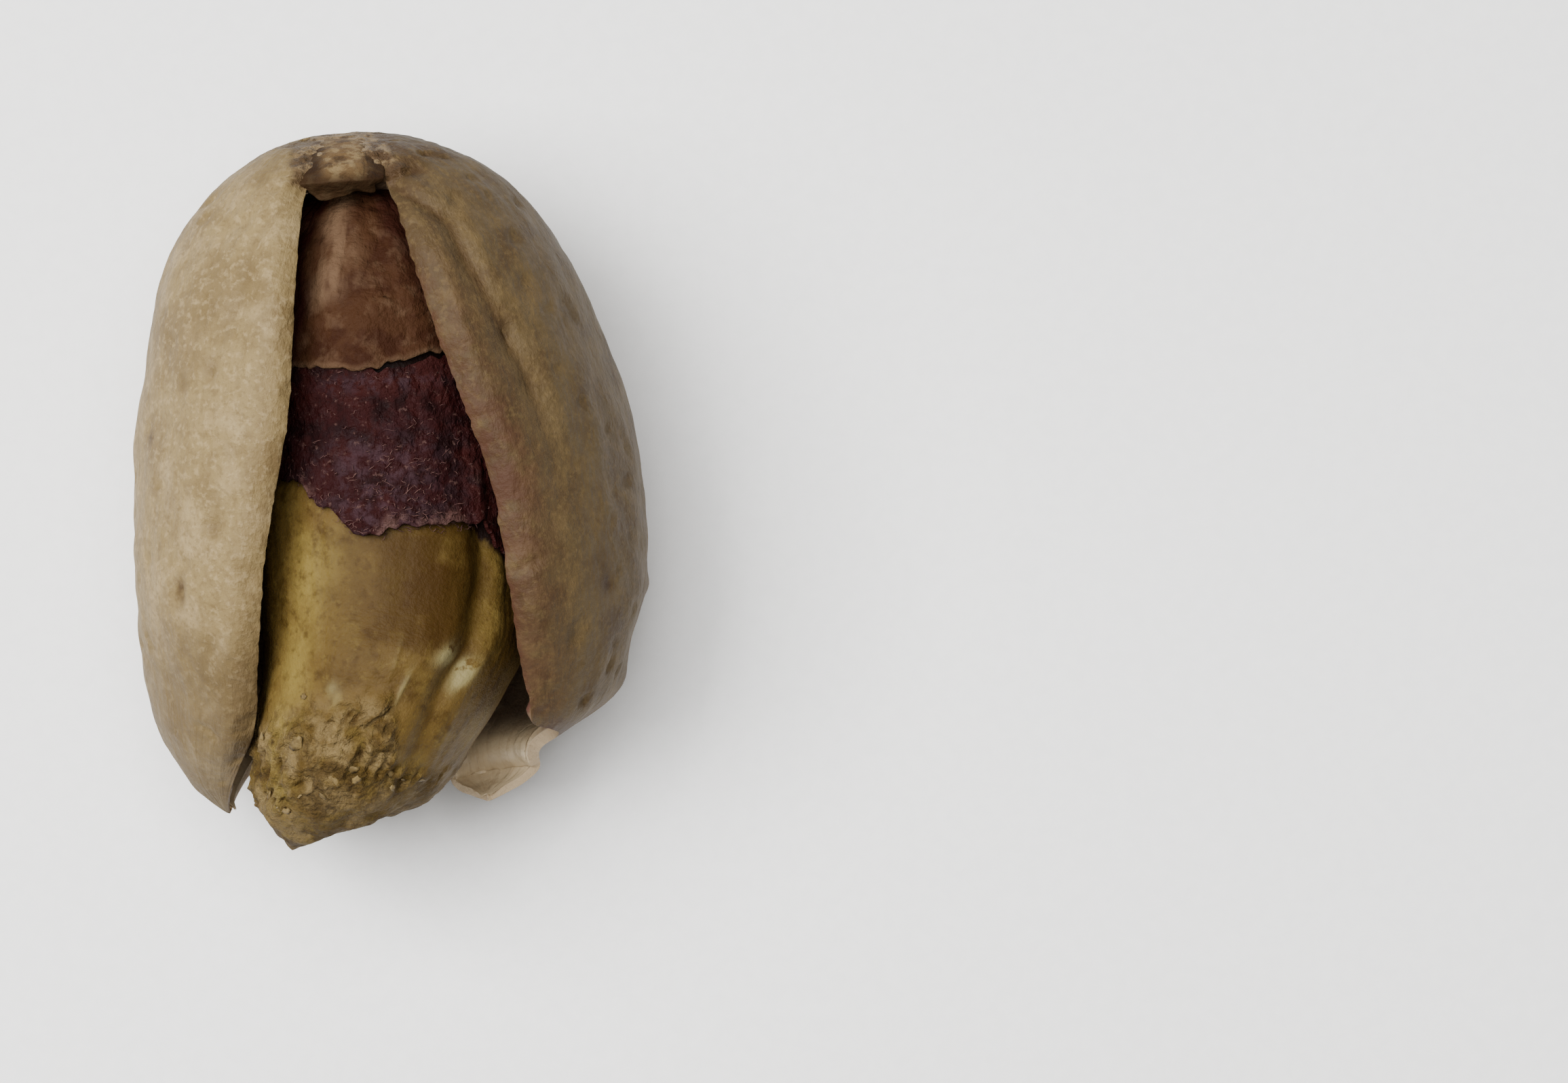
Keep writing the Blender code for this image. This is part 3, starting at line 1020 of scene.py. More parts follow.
    def half_of(self, vert: bmesh.types.BMVert) -> Half:
        """The half that a vertex belongs to, or the suture that both share.

        Args:
            vert: the vertex, after the sutures are opened.

        Returns:
            The half.
        """
        balance = sum(face.calc_center_median().x for face in vert.link_faces)
        if abs(balance) < 10.0 * ON_SEAM:
            return Half.SHARED
        return Half.RIGHT if balance > 0 else Half.LEFT

    def wall_share(self, axial: float, share: float) -> float:
        """Share of the wall's thickness: it thins towards the lips and to an edge at the tip.

        Args:
            axial: station along the nut.
            share: share of the way from the lip to the back.

        Returns:
            The share, from 0 to 1.
        """
        thinned = (1.0 - smooth(share / 0.15)) * smooth((self.gape_top_at + 0.03 - axial) / 0.05)
        tip = self.tip_wall_share + (1.0 - self.tip_wall_share) * smooth((axial + 1.0) / 0.3)
        return min(1.0 - (1.0 - self.lip_wall_share) * thinned, tip)

    def masks(self, axial: float, turn: float, half: Half) -> dict[str, float]:
        """The values that the shell's materials read at a station.

        Args:
            axial: station along the nut.
            turn: turn from the gape, in radians.
            half: the half of the shell.

        Returns:
            The values by mask name.
        """
        at, marked = self.crease(axial, half)
        right = half is Half.RIGHT
        signed = half.value * turn
        girth = self.fullness(axial, half)
        across = self.forms[half].thickness * girth * math.sin(signed)
        bare = Vector((across, self.half_length * axial, self.half_depth * girth * math.cos(turn)))
        from_lip = turn - self.lip_setback(axial, half)
        beside_lip = 1.0 - smooth((from_lip - 0.02) / (0.4 if right else 0.25))
        # The right half's browner colour also carries painted shade, as it faces away from the light; the
        # left half darkens towards its tip
        if right:
            browned = 0.85 + 0.15 * beside_lip
            reddened = 0.5 + 0.5 * bump(axial, -0.02, 0.25)
            on_edge = 1.0 - smooth(from_lip / 0.07)
        else:
            browned = 0.1 * beside_lip + 0.45 * smooth((-axial - 0.3) / 0.4)
            reddened = 0.15
            on_edge = 0.0
        # Painted shade: a band round the top of the gape, where the wood rolls in under the scar, takes the
        # scar's dark colour
        spread = 2.2 + 0.6 * noise.noise(bare * 0.9)
        around = smooth((spread - abs(across)) / 0.8)
        around *= smooth((axial - 0.87) / 0.04) * smooth((1.9 - turn) / 0.9)
        crust = self.crust(axial, turn, bare)
        corky = self.scar(axial, turn, across)
        return {
            # Darker still towards the scar on both halves
            "browner_and_shaded": browned + 0.3 * smooth((axial - 0.82) / 0.12),
            # Painted shade down the crease beside the lip, stronger on the right half
            "groove_shade": marked * bump(turn, at, 0.03) * (0.7 if right else 0.3),
            "blush": max(beside_lip * reddened, on_edge) * smooth((0.8 - axial) / 0.4),
            "stain": sum(mark.stain * mark.weight(axial, signed) for mark in self.marks),
            # The scar's own cork, plus painted shade round the top of the gape; on the lip it paints shade on
            # the arch's rim
            "scar": max(corky, 0.8 * around * (1.0 - crust)),
            "flaky": corky * smooth((axial - 0.89) / 0.02),
            # Painted shade deep inside the shell, fading out at the spout and towards the stalk end
            "deep_shade": smooth((axial + 0.9) / 0.06) * smooth((0.7 - axial) / 0.3),
            "worn": smooth((-axial - 0.82) / 0.06) if right else 0.0,
            "plain": 1.0 - smooth((axial + 0.8) / 0.05) * smooth((0.72 - axial) / 0.1) if right else 1.0,
        }

    def build(self) -> bpy.types.Object:
        """Grows the shell, gives it its wall and dresses it.

        Returns:
            The finished piece.
        """
        sphere = bmesh.new()
        bmesh.ops.create_uvsphere(sphere, u_segments=self.segments, v_segments=self.rings, radius=1.0)
        self.split_sutures(sphere)
        placed = []
        walls = []
        stations = Stations()
        for vert in sphere.verts:
            axial, share = sphere_station(vert.co)
            half = self.half_of(vert)
            point, turn = self.point(axial, share, half)
            placed.append(point)
            walls.append(self.wall_share(axial, share))
            stations.add(axial, turn, self.masks(axial, turn, half))
        lie = LIE.matrix()
        for vert, point in zip(sphere.verts, placed):
            vert.co = lie @ point
            vert.co.z = max(vert.co.z, 0.0)
        face_outwards(sphere)
        finishes = [ShellWood().make(), ShellLining().make(), ShellLip().make()]
        piece = finished_object("split_shell", sphere, finishes, "shell")
        stations.write(piece.data, self.grain_girth, self.half_length)
        group = piece.vertex_groups.new(name="wall")
        for index, share in enumerate(walls):
            group.add([index], share, "REPLACE")
        wall = piece.modifiers.new("Wall", "SOLIDIFY")
        wall.thickness = self.wall * MM
        wall.offset = -1.0
        wall.vertex_group = group.name
        wall.material_offset = 1
        wall.material_offset_rim = 2
        rounded = piece.modifiers.new("Worn lips", "BEVEL")
        rounded.width = self.worn_edge * MM
        rounded.segments = 3
        rounded.limit_method = "ANGLE"
        rounded.angle_limit = math.radians(50)
        return piece


@dataclass
class StalkStub:
    """The knob of cork where the stalk broke off: it sits on the scar and hangs over the top of the gape."""

    shell: GrownShell
    middle: tuple[float, float] = (-0.05, 8.88)
    reach: tuple[float, float] = (1.25, 0.8)
    thickness: float = 0.26
    corners: float = 0.65
    ragged: float = 0.22
    sag: float = 0.35
    lumps: Waves = ((0.5, 2.2), (0.4, 5.0), (0.2, 11.0))
    saddle_half_width: float = 5.2
    lowest: float = 8.5

    def saddle(self, across: float, along: float) -> float:
        """Height of the scar that the knob sits on.

        Args:
            across: distance from the sutures' plane, in millimetres.
            along: place along the nut, in millimetres.

        Returns:
            The height in the nut's frame, in millimetres.
        """
        axial = min(max(along, self.lowest) / self.shell.half_length, 1.0)
        girth = self.shell.fullness(axial, Half.SHARED)
        share = girth * girth - (across / self.saddle_half_width) ** 2
        return self.shell.half_depth * math.sqrt(max(share, 0.0))

    def build(self) -> bpy.types.Object:
        """Grows the knob and dresses it.

        Returns:
            The finished piece.
        """
        knob = bmesh.new()
        bmesh.ops.create_icosphere(knob, subdivisions=6, radius=1.0)
        stations = Stations()
        lie = LIE.matrix()
        for vert in knob.verts:
            unit = vert.co.copy()
            ragged = 1.0 + self.ragged * waver(unit.x * 2.2, unit.y * 2.2, 0.0)
            across, along = (
                middle + reach * ragged * math.copysign(abs(part) ** self.corners, part)
                for middle, reach, part in zip(self.middle, self.reach, unit)
            )
            corky = smooth((0.85 - abs(across - 0.1)) / 0.5) * smooth((along - 8.45) / 0.45)
            lumps = (0.3 + 0.6 * corky) * lumpy(unit, self.lumps)
            sagging = self.sag * smooth((8.6 - along) / 0.5)
            raised = (0.6 + 0.4 * corky) * unit.z * (1.0 + lumps) - 0.3
            height = self.saddle(across, along) - sagging + self.thickness * raised
            vert.co = lie @ Vector((across, along, height))
            # Painted shade between the lumps, and darker away from the knob's corky middle
            hollow = max(smooth((-0.25 - lumps) / 0.2), 1.0 - corky)
            stations.add(along / self.shell.half_length, unit.x, {"hollow": hollow})
        face_outwards(knob)
        piece = finished_object("stalk_stub", knob, [Cork().make()], None)
        stations.write(piece.data, girth_mm=1.0, length_mm=self.shell.half_length)
        return piece


def along_outline(outline: Outline, turn: float) -> float:
    """Axial station of an outline of (degrees, station) pairs at a turn in radians.

    Args:
        outline: the outline, by rising degrees.
        turn: signed turn from the gape.

    Returns:
        The axial station.
    """
    degrees = math.degrees(turn)
    for (before, low), (after, high) in zip(outline, outline[1:]):
        if degrees <= after:
            return low + (high - low) * smooth((degrees - before) / (after - before))
    return outline[-1][1]


@dataclass(frozen=True)
class CoatEdges:
    """The ragged edges of the coat: its torn lower edge, and the crack between it and its cap."""

    torn_edge: Outline = (
        (-180, 0.16), (-90, 0.2), (-38, 0.13), (-24, 0.05), (-12, -0.055), (0, -0.03),
        (20, -0.03), (27, -0.12), (45, -0.2), (68, -0.24), (110, -0.1), (180, 0.16),
    )
    crack: Outline = ((-180, 0.52), (-31, 0.465), (-10, 0.45), (8, 0.49), (36, 0.555), (90, 0.5), (180, 0.52))

    def ragged(self, outline: Outline, turn: float, teeth: float, seed: float) -> float:
        """An outline's station at a turn, with its teeth.

        Args:
            outline: the outline.
            turn: signed turn from the gape, in radians.
            teeth: size of the teeth, in axial units; they die away at the seam on the back.
            seed: which teeth.

        Returns:
            The axial station.
        """
        jagged = waver(turn * 8.0, 0.0, seed) + 0.7 * waver(turn * 24.0, 5.0, seed)
        return along_outline(outline, turn) + teeth * jagged * smooth((math.pi - abs(turn)) / 0.2)

    def torn(self, turn: float) -> float:
        """Station of the torn lower edge."""
        return self.ragged(self.torn_edge, turn, 0.024, 2.0)

    def cap(self, turn: float) -> float:
        """Station of the cap's lower edge."""
        return self.ragged(self.crack, turn, 0.014, 7.0)

    def top(self, turn: float) -> float:
        """Station of the coat's upper edge: the crack gapes on the right and closes to a line on the left."""
        return self.cap(turn) + 0.01 - 0.028 * smooth((turn + 0.22) / 0.2)


@dataclass
class Kernel:
    """The two seed leaves, parted by a crease, with a rough broken end."""

    edges: CoatEdges
    half_length: float = 9.04
    right_half_width: float = 3.95
    left_half_width: float = 3.58
    half_depth: float = 4.3
    middle: tuple[float, float, float] = (0.45, -0.9, 0.2)
    stalk_end_powers: tuple[float, float] = (3.0, 0.5)
    stalk_end_lift: float = 0.2
    tip_powers: tuple[float, float] = (6.0, 0.5)
    tip_drift: float = 0.95
    tip_flare: float = 0.3
    tip_lift: float = 1.5
    broken_faces: tuple[tuple[tuple[float, float, float], float], ...] = (
        ((0.27, -0.96, 0.05), 9.1),
        ((-0.82, -0.57, 0.05), 8.05),
        ((0.785, -0.615, 0.06), 6.85),
    )
    left_shoulder: float = 0.85
    broken_end_slope: float = 0.35
    crease_depth: float = 0.5
    crease_turn: float = math.radians(25)
    crease_sway: float = math.radians(21)
    crease_width: float = 0.12
    step_share: float = 0.3
    segments: int = 256
    rings: int = 280
    marks: tuple[Mark, ...] = (
        Mark(-0.44, 0.27, 0.03, 0.06, 0.01, 1.3),
        Mark(-0.47, 0.34, 0.02, 0.04, 0.0, 1.0),
        Mark(-0.54, 0.57, 0.045, 0.08, 0.01, 1.6),
        Mark(-0.5, 0.5, 0.025, 0.04, 0.0, 1.0),
        Mark(-0.53, 0.08, 0.05, 0.016, 0.05, 0.6),
        Mark(-0.42, -0.03, 0.05, 0.012, 0.03, 0.2),
        Mark(-0.5, 0.2, 0.06, 0.02, 0.015, 0.0),
        Mark(-0.55, -0.14, 0.04, 0.02, -0.06, 0.0),
        Mark(-0.25, -0.75, 0.03, 0.05, -0.03, 0.0),
        Mark(-0.5, -0.38, 0.02, 0.04, 0.03, 0.5),
        Mark(-0.53, -0.33, 0.02, 0.03, 0.03, 0.4),
    )

    def crease_at(self, axial: float, turn: float) -> tuple[float, float]:
        """The crease between the seed leaves.

        Args:
            axial: station along the kernel.
            turn: signed turn from the gape before the crease's sway, in radians.

        Returns:
            The turn with the sway, and the crease's share from 0 to 1.
        """
        creased = smooth((0.6 - axial) / 0.6) * smooth((axial + 0.98) / 0.2)
        sway = self.crease_sway * smooth((axial + 0.75) / 0.6)
        share = creased * bump(turn, self.crease_turn, self.crease_width)
        return turn + sway * bump(turn, self.crease_turn, 0.6), share

    def plain_point(self, axial: float, turn: float, height: float) -> tuple[Vector, Vector]:
        """A point over the kernel's smooth form.

        Args:
            axial: station along the kernel.
            turn: signed turn from the gape, in radians.
            height: height over the smooth form, in millimetres.

        Returns:
            The point in the nut's frame, and the way out of the surface there.
        """
        power, root = self.stalk_end_powers if axial >= 0.0 else self.tip_powers
        girth = max(1.0 - abs(axial) ** power, 0.0) ** root
        turn, _ = self.crease_at(axial, turn)
        across = math.sin(turn)
        up = math.cos(turn)
        squared = smooth(0.1 - 2.0 * across) * smooth(2.0 * up) * smooth((0.3 - axial) / 0.5)
        fuller = 1.0 - (1.0 - self.left_shoulder) * squared * smooth((axial + 0.95) / 0.4)
        half_width = self.right_half_width if across > 0.0 else self.left_half_width
        wide = half_width * girth * math.copysign(abs(across) ** fuller, across)
        point = Vector((wide, 0.0, self.half_depth * girth * math.copysign(abs(up) ** fuller, up)))
        level = 1.0 - axial**8
        lengthwise = 0.4 * axial + 1.2 * axial * abs(axial) ** 5
        outwards = Vector((level * across, lengthwise, level * up)).normalized()
        point += outwards * height
        flared = self.tip_flare * smooth((-axial - 0.72) / 0.2) * smooth(-across)
        point.x -= self.tip_drift * smooth((-axial - 0.35) / 0.55) + flared
        point.z += self.tip_lift * smooth((0.4 - axial) / 1.2)
        point.z += self.stalk_end_lift * smooth((axial - 0.5) / 0.5)
        slope = self.broken_end_slope * smooth((-axial - 0.3) / 0.6)
        point.y += self.half_length * axial + slope * half_width * girth * across
        point += Vector(self.middle)
        for normal, distance in self.broken_faces:
            facing = Vector(normal)
            point -= facing * max(facing.dot(point) - distance, 0.0)
        return point, outwards

    def broken(self, axial: float, turn: float) -> float:
        """How broken the flesh is at a station: most at the lower left of the open end.

        Args:
            axial: station along the kernel.
            turn: signed turn from the gape, in radians.

        Returns:
            A share from 0 to 1.
        """
        edge = -0.5 - 0.24 * smooth(turn / 0.3) - 0.12 * smooth((turn - 0.3) / 0.4)
        edge += 0.07 * waver(turn * 3.0, axial * 4.0, 1.0)
        return smooth((edge - axial) / 0.1)

    def rag_edge(self, turn: float) -> float:
        """Station where the rag of inner skin round the broken end stops, without its teeth."""
        return -0.76 - 0.12 * smooth((turn + 0.4) / 1.1)

    def skin_left(self, axial: float, turn: float) -> float:
        """How much of the inner skin is left at a station, from 0 to 1."""
        teeth = 0.05 * waver(turn * 4.0, 0.0, 6.0) + 0.02 * waver(turn * 13.0, 0.0, 8.0)
        return smooth((self.rag_edge(turn) + teeth - axial) / 0.025)

    def relief(self, axial: float, turn: float, point: Vector) -> float:
        """Height over the smooth form, in millimetres; the flesh under the coat is plain.

        Args:
            axial: station along the kernel.
            turn: signed turn from the gape, in radians.
            point: the point of the smooth form, in the nut's frame.

        Returns:
            The height, negative for a hollow.
        """
        bare = smooth((self.edges.torn(turn) - axial + 0.01) / 0.05)
        if bare <= 0.0:
            return 0.0
        uneven = 0.14 * waver(math.sin(turn), math.cos(turn), 6.0 * axial)
        off_pole = smooth((axial + 0.99) / 0.15)
        uneven += 0.04 * off_pole * waver(turn * 5.0, axial * 3.0, 3.0)
        uneven += 0.022 * off_pole * waver(turn * 14.0, axial * 7.0, 5.0)
        for mark in self.marks:
            uneven += mark.height * mark.weight(axial, turn)
        return bare * (uneven + self.broken_relief(axial, turn, point))

    def broken_relief(self, axial: float, turn: float, point: Vector) -> float:
        """Relief of the broken end, in millimetres: stepped flakes, and the rag of skin with its folds.

        Args:
            axial: station along the kernel.
            turn: signed turn from the gape, in radians.
            point: the point of the smooth form, in the nut's frame.

        Returns:
            The height, negative for a hollow.
        """
        rough = self.broken(axial, turn)
        if rough <= 0.0:
            return 0.0
        grain = Vector((0.45 * (point.x + point.y), 1.3 * (point.x - point.y), 0.7 * point.z))
        layers = 2.4 * noise.noise(grain) + 1.2 * noise.noise(point * 2.1)
        flakes = math.floor(layers) + smooth((layers % 1.0) / self.step_share)
        splinters = 1.0 - 3.0 * abs(noise.noise(grain * 2.1))
        chipped = 0.085 * flakes + 0.08 * splinters + 0.06 * noise.noise(point * 5.5) - 0.03
        skin = self.skin_left(axial, turn)
        folds = 0.13 * noise.noise(point * 1.4 + Vector((0.0, 2.0, 0.0))) + 0.07 * noise.noise(point * 3.0)
        return rough * ((1.0 - skin) * chipped + skin * (0.05 + folds)) + 0.25 * skin * (1.0 - skin)

    def masks(self, axial: float, turn: float, point: Vector) -> dict[str, float]:
        """The values that the flesh's material reads at a station.

        Args:
            axial: station along the kernel.
            turn: signed turn from the gape, in radians.
            point: the point of the smooth form, in the nut's frame.

        Returns:
            The values by mask name.
        """
        _, valley = self.crease_at(axial, turn)
        sunk = -self.broken_relief(axial, turn, point)
        uncovered = smooth((0.02 - axial) / 0.1)
        # Painted light: a paler strip along the left shoulder, where it faces the light
        shoulder = -0.55 - 0.33 * smooth((-axial - 0.05) / 0.7)
        lit = bump(turn, shoulder, 0.2) * uncovered
        lobe = 0.4 * bump(turn, 0.62, 0.14) * bump(axial, -0.25, 0.2)
        valley_shade = bump(turn, 0.08, 0.45) * uncovered * smooth((axial + 0.65) / 0.3)
        flank_shade = 0.8 * bump(turn, 1.0, 0.3) * bump(axial, -0.4, 0.25)
        return {
            # Painted shade in the crease between the seed leaves
            "crease": valley**4,
            "light": lit + lobe,
            "shade": max(valley_shade, flank_shade),
            "broken": self.broken(axial, turn),
            # Painted shade in the hollows of the broken end
            "hollow": smooth((sunk - 0.05) / 0.1),
            "pale": sum(mark.stain * mark.weight(axial, turn) for mark in self.marks),
            "skin": 0.45 * self.skin_left(axial, turn),
            "under_coat": smooth((axial - self.edges.torn(turn) - 0.01) / 0.02),
        }

    def build(self) -> bpy.types.Object:
        """Grows the kernel and dresses it.

        Returns:
            The finished piece.
        """
        sphere = bmesh.new()
        bmesh.ops.create_uvsphere(sphere, u_segments=self.segments, v_segments=self.rings, radius=1.0)
        lie = LIE.matrix()
        stations = Stations()
        for vert in sphere.verts:
            axial, share = sphere_station(vert.co)
            turn = math.copysign(math.pi * share**1.25, vert.co.x)
            _, valley = self.crease_at(axial, turn)
            depth = (0.4 + 0.25 * smooth((axial + 0.7) / 0.3)) * self.crease_depth * valley
            point, outwards = self.plain_point(axial, turn, -depth)
            stations.add(axial, turn, self.masks(axial, turn, point))
            point += outwards * self.relief(axial, turn, point)
            vert.co = lie @ point
        face_outwards(sphere)
        piece = finished_object("seed_leaves", sphere, [KernelFlesh().make()], "kernel")
        stations.write(piece.data, self.right_half_width, self.half_length)
        return piece


@dataclass
class Skin:
    """A skin over the kernel between two ragged edges."""

    kernel: Kernel
    name: str
    node: str
    low: Callable[[float], float]
    high: Callable[[float], float]
    relief: Callable[[float, float, Vector], float]
    masks: Callable[[float, float], dict[str, float]]
    thickness: float
    finish: bpy.types.Material
    segments: int = 280
    rows: int = 84

    def build(self) -> bpy.types.Object:
        """Lays the skin over the kernel, gives it its thickness and dresses it.

        Returns:
            The finished piece.
        """
        sheet = bmesh.new()
        bmesh.ops.create_grid(sheet, x_segments=self.segments, y_segments=self.rows, size=1.0)
        station_of: dict[bmesh.types.BMVert, tuple[float, float]] = {}
        lie = LIE.matrix()
        for vert in sheet.verts:
            turn = math.copysign(math.pi * abs(vert.co.x) ** 1.3, vert.co.x)
            upwards = math.sin(math.pi / 4 * (vert.co.y + 1.0))
            axial = self.low(turn) + (self.high(turn) - self.low(turn)) * upwards
            point, outwards = self.kernel.plain_point(axial, turn, COAT_GAP)
            vert.co = lie @ (point + outwards * self.relief(axial, turn, point))
            station_of[vert] = (axial, turn)
        bmesh.ops.remove_doubles(sheet, verts=sheet.verts, dist=SAME_PLACE)
        face_outwards(sheet)
        stations = Stations()
        for vert in sheet.verts:
            axial, turn = station_of[vert]
            stations.add(axial, turn, self.masks(axial, turn))
        piece = finished_object(self.name, sheet, [self.finish], self.node)
        stations.write(piece.data, self.kernel.right_half_width, self.kernel.half_length)
        wall = piece.modifiers.new("Skin", "SOLIDIFY")
        wall.thickness = self.thickness * MM
        wall.offset = 1.0
        return piece


@dataclass
class SeedCoat:
    """The papery coat with its torn lower edge, and the thicker cap that has cracked away above it."""

    kernel: Kernel
    coat_thickness: float = 0.1
    cap_thickness: float = 0.25
    coat_waves: Waves = ((0.07, 1.3), (0.05, 3.2), (0.025, 7.0))
    cap_waves: Waves = ((0.08, 1.1), (0.035, 4.0))

    def wrinkles(self, axial: float, turn: float, point: Vector) -> float:
        """Height of the coat's wrinkles, in millimetres, with its fold and its lifted torn edge.

        Args:
            axial: station along the kernel.
            turn: signed turn from the gape, in radians.
            point: the point of the smooth form, in the nut's frame.

        Returns:
            The height.
        """
        fold = 0.14 * bump(turn, 0.35, 0.045) * smooth((0.2 - axial) / 0.15)
        lifted = 0.05 * smooth(1.0 - (axial - self.kernel.edges.torn(turn)) / 0.03)
        return 0.07 + lumpy(point, self.coat_waves) + lifted + fold

    def cap_relief(self, axial: float, turn: float, point: Vector) -> float:
        """Height of the cap's fibrous surface, in millimetres, with the ridge down its left and its knot.

        Args:
            axial: station along the kernel.
            turn: signed turn from the gape, in radians.
            point: the point of the smooth form, in the nut's frame.

        Returns:
            The height.
        """
        height = lumpy(point, self.cap_waves) + 0.08 * waver(turn * 9.0, axial * 4.0, 9.0)
        ridge = 0.08 * bump(turn, -0.3, 0.12)
        knot = 0.1 * bump(turn, -0.05, 0.05) * bump(axial, 0.63, 0.02)
        return 0.05 + height + ridge + knot

    def coat_masks(self, axial: float, turn: float) -> dict[str, float]:
        """The values that the coat's material reads at a station.

        Args:
            axial: station along the kernel.
            turn: signed turn from the gape, in radians.

        Returns:
            The values by mask name.
        """
        torn = smooth(1.0 - (axial - self.kernel.edges.torn(turn)) / 0.055) * smooth((0.3 - turn) / 0.1)
        fold = bump(turn, 0.34, 0.02) * bump(axial, 0.02, 0.07)
        # The crown's grey is partly dust and partly a painted sheen where it faces the light; a grey line
        # runs below the crack
        crown_dust_and_sheen = bump(turn, -0.15, 0.3) * smooth((0.32 - axial) / 0.15)
        dusty_line = 0.9 * bump(turn, -0.12, 0.3) * bump(axial, 0.41, 0.03)
        return {
            "frayed": max(torn, fold),
            "red": max(smooth((turn - 0.22) / 0.15), smooth((axial - 0.3) / 0.12)),
            "dust_and_sheen": crown_dust_and_sheen + dusty_line,
        }

    def cap_masks(self, axial: float, turn: float) -> dict[str, float]:
        """The values that the cap's material reads at a station.

        Args:
            axial: station along the kernel.
            turn: signed turn from the gape, in radians.

        Returns:
            The values by mask name.
        """
        wander = 0.1 * waver(axial * 7.0, 0.0, 3.0)
        # The pale streak follows the ridge on the left: partly fibres, partly a painted highlight
        streak_and_highlight = bump(turn, -0.36 + wander, 0.13) * smooth((axial - 0.62) / 0.06)
        right = smooth((turn + 0.08 - 0.32 * smooth((0.85 - axial) / 0.35) - wander) / 0.15)
        # Painted shade: the cap's left side, where it turns down under the left lip, is laid maroon
        left = smooth((-turn - 0.5 - wander) / 0.1)
        edge = smooth(1.0 - (axial - self.kernel.edges.cap(turn)) / 0.02)
        return {"streak_and_highlight": streak_and_highlight, "maroon": max(0.85 * right, left), "edge": edge}

    def build(self) -> list[bpy.types.Object]:
        """Lays both skins over the kernel.

        Returns:
            The coat and its cap.
        """
        edges = self.kernel.edges
        coat = Skin(
            self.kernel, "purple_coat", "seed_coat", edges.torn, edges.top,
            self.wrinkles, self.coat_masks, self.coat_thickness, CoatSkin().make(),
        )
        cap = Skin(
            self.kernel, "tan_cap", "coat_cap", edges.cap, lambda turn: 1.0,
            self.cap_relief, self.cap_masks, self.cap_thickness, CapSkin().make(),
        )
        return [coat.build(), cap.build()]


@dataclass
class Fibres:
    """Fibres torn out of the coat: they lie on it as a pale fuzz, and fringe its torn edge."""

    coat: SeedCoat
    on_coat: int = 170
    on_edge: int = 70
    radius: float = 0.013
    bend: float = 3.0
    rise: float = 0.05
    kernel_girth: float = 4.0
    tone: Dry = Dry("torn fibres", "#553a35", "#35191a")

    def surface(self, axial: float, turn: float, height: float) -> Vector:
        """A point over the coat, or over the bare flesh below its edge, in the row frame.

        Args:
            axial: station along the kernel.
            turn: signed turn from the gape, in radians.
            height: height over the surface, in millimetres.

        Returns:
            The point, in metres.
        """
        kernel = self.coat.kernel
        point, outwards = kernel.plain_point(axial, turn, COAT_GAP)
        on_coat = smooth((axial - kernel.edges.torn(turn)) / 0.01)
        height += on_coat * (self.coat.wrinkles(axial, turn, point) + self.coat.coat_thickness)
        height -= 0.1 * (1.0 - on_coat)
        return LIE.matrix() @ (point + outwards * height)

    def add(
        self, tangle: bmesh.types.BMesh, place: tuple[float, float], heading: float, length: float
    ) -> None:
        """Adds a fibre: a thin three-sided thread with closed, tapered ends.

        Args:
            tangle: the mesh that it goes into.
            place: station and turn of its middle.
            heading: its direction over the surface, in radians from the nut's length.
            length: its length, in millimetres.
        """
        made = bmesh.ops.create_grid(tangle, x_segments=7, y_segments=3, size=1.0)["verts"]
        bend = random.uniform(-self.bend, self.bend)
        rise = random.uniform(0.0, self.rise)
        for vert in made:
            along, around = vert.co.x, math.pi * vert.co.y
            way = heading + bend * along * along
            off = 0.5 * length * along
            axial = place[0] + off * math.cos(way) / self.coat.kernel.half_length
            turn = place[1] + off * math.sin(way) / self.kernel_girth
            middle = self.surface(axial, turn, 0.01 + rise * (1.0 - along * along))
            thin = self.radius * MM * (1.0 - 0.7 * along * along)
            side = Vector((math.cos(way), -math.sin(way), 0.0))
            vert.co = middle + thin * (side * math.cos(around) + Vector((0.0, 0.0, 1.0)) * math.sin(around))

    def build(self) -> bpy.types.Object:
        """Strews the fibres and dresses them.

        Returns:
            The finished piece.
        """
        tangle = bmesh.new()
        edges = self.coat.kernel.edges
        for _ in range(self.on_coat):
            turn = math.radians(random.gauss(-4.0, 12.0))
            low = edges.torn(turn)
            axial = low + (edges.top(turn) - low) * min(abs(random.gauss(0.0, 0.42)), 0.96)
            heading = random.uniform(0.0, math.pi)
            self.add(tangle, (axial, turn), heading, random.triangular(0.06, 0.34, 0.1))
        for _ in range(self.on_edge):
            turn = math.radians(random.uniform(-38.0, 22.0))
            axial = edges.torn(turn) + random.uniform(-0.02, 0.03)
            heading = random.gauss(0.0, 0.9)
            self.add(tangle, (axial, turn), heading, random.uniform(0.1, 0.35))
        bmesh.ops.remove_doubles(tangle, verts=tangle.verts, dist=SAME_PLACE)
        face_outwards(tangle)
        return finished_object("coat_fibres", tangle, [self.tone.make()], None)


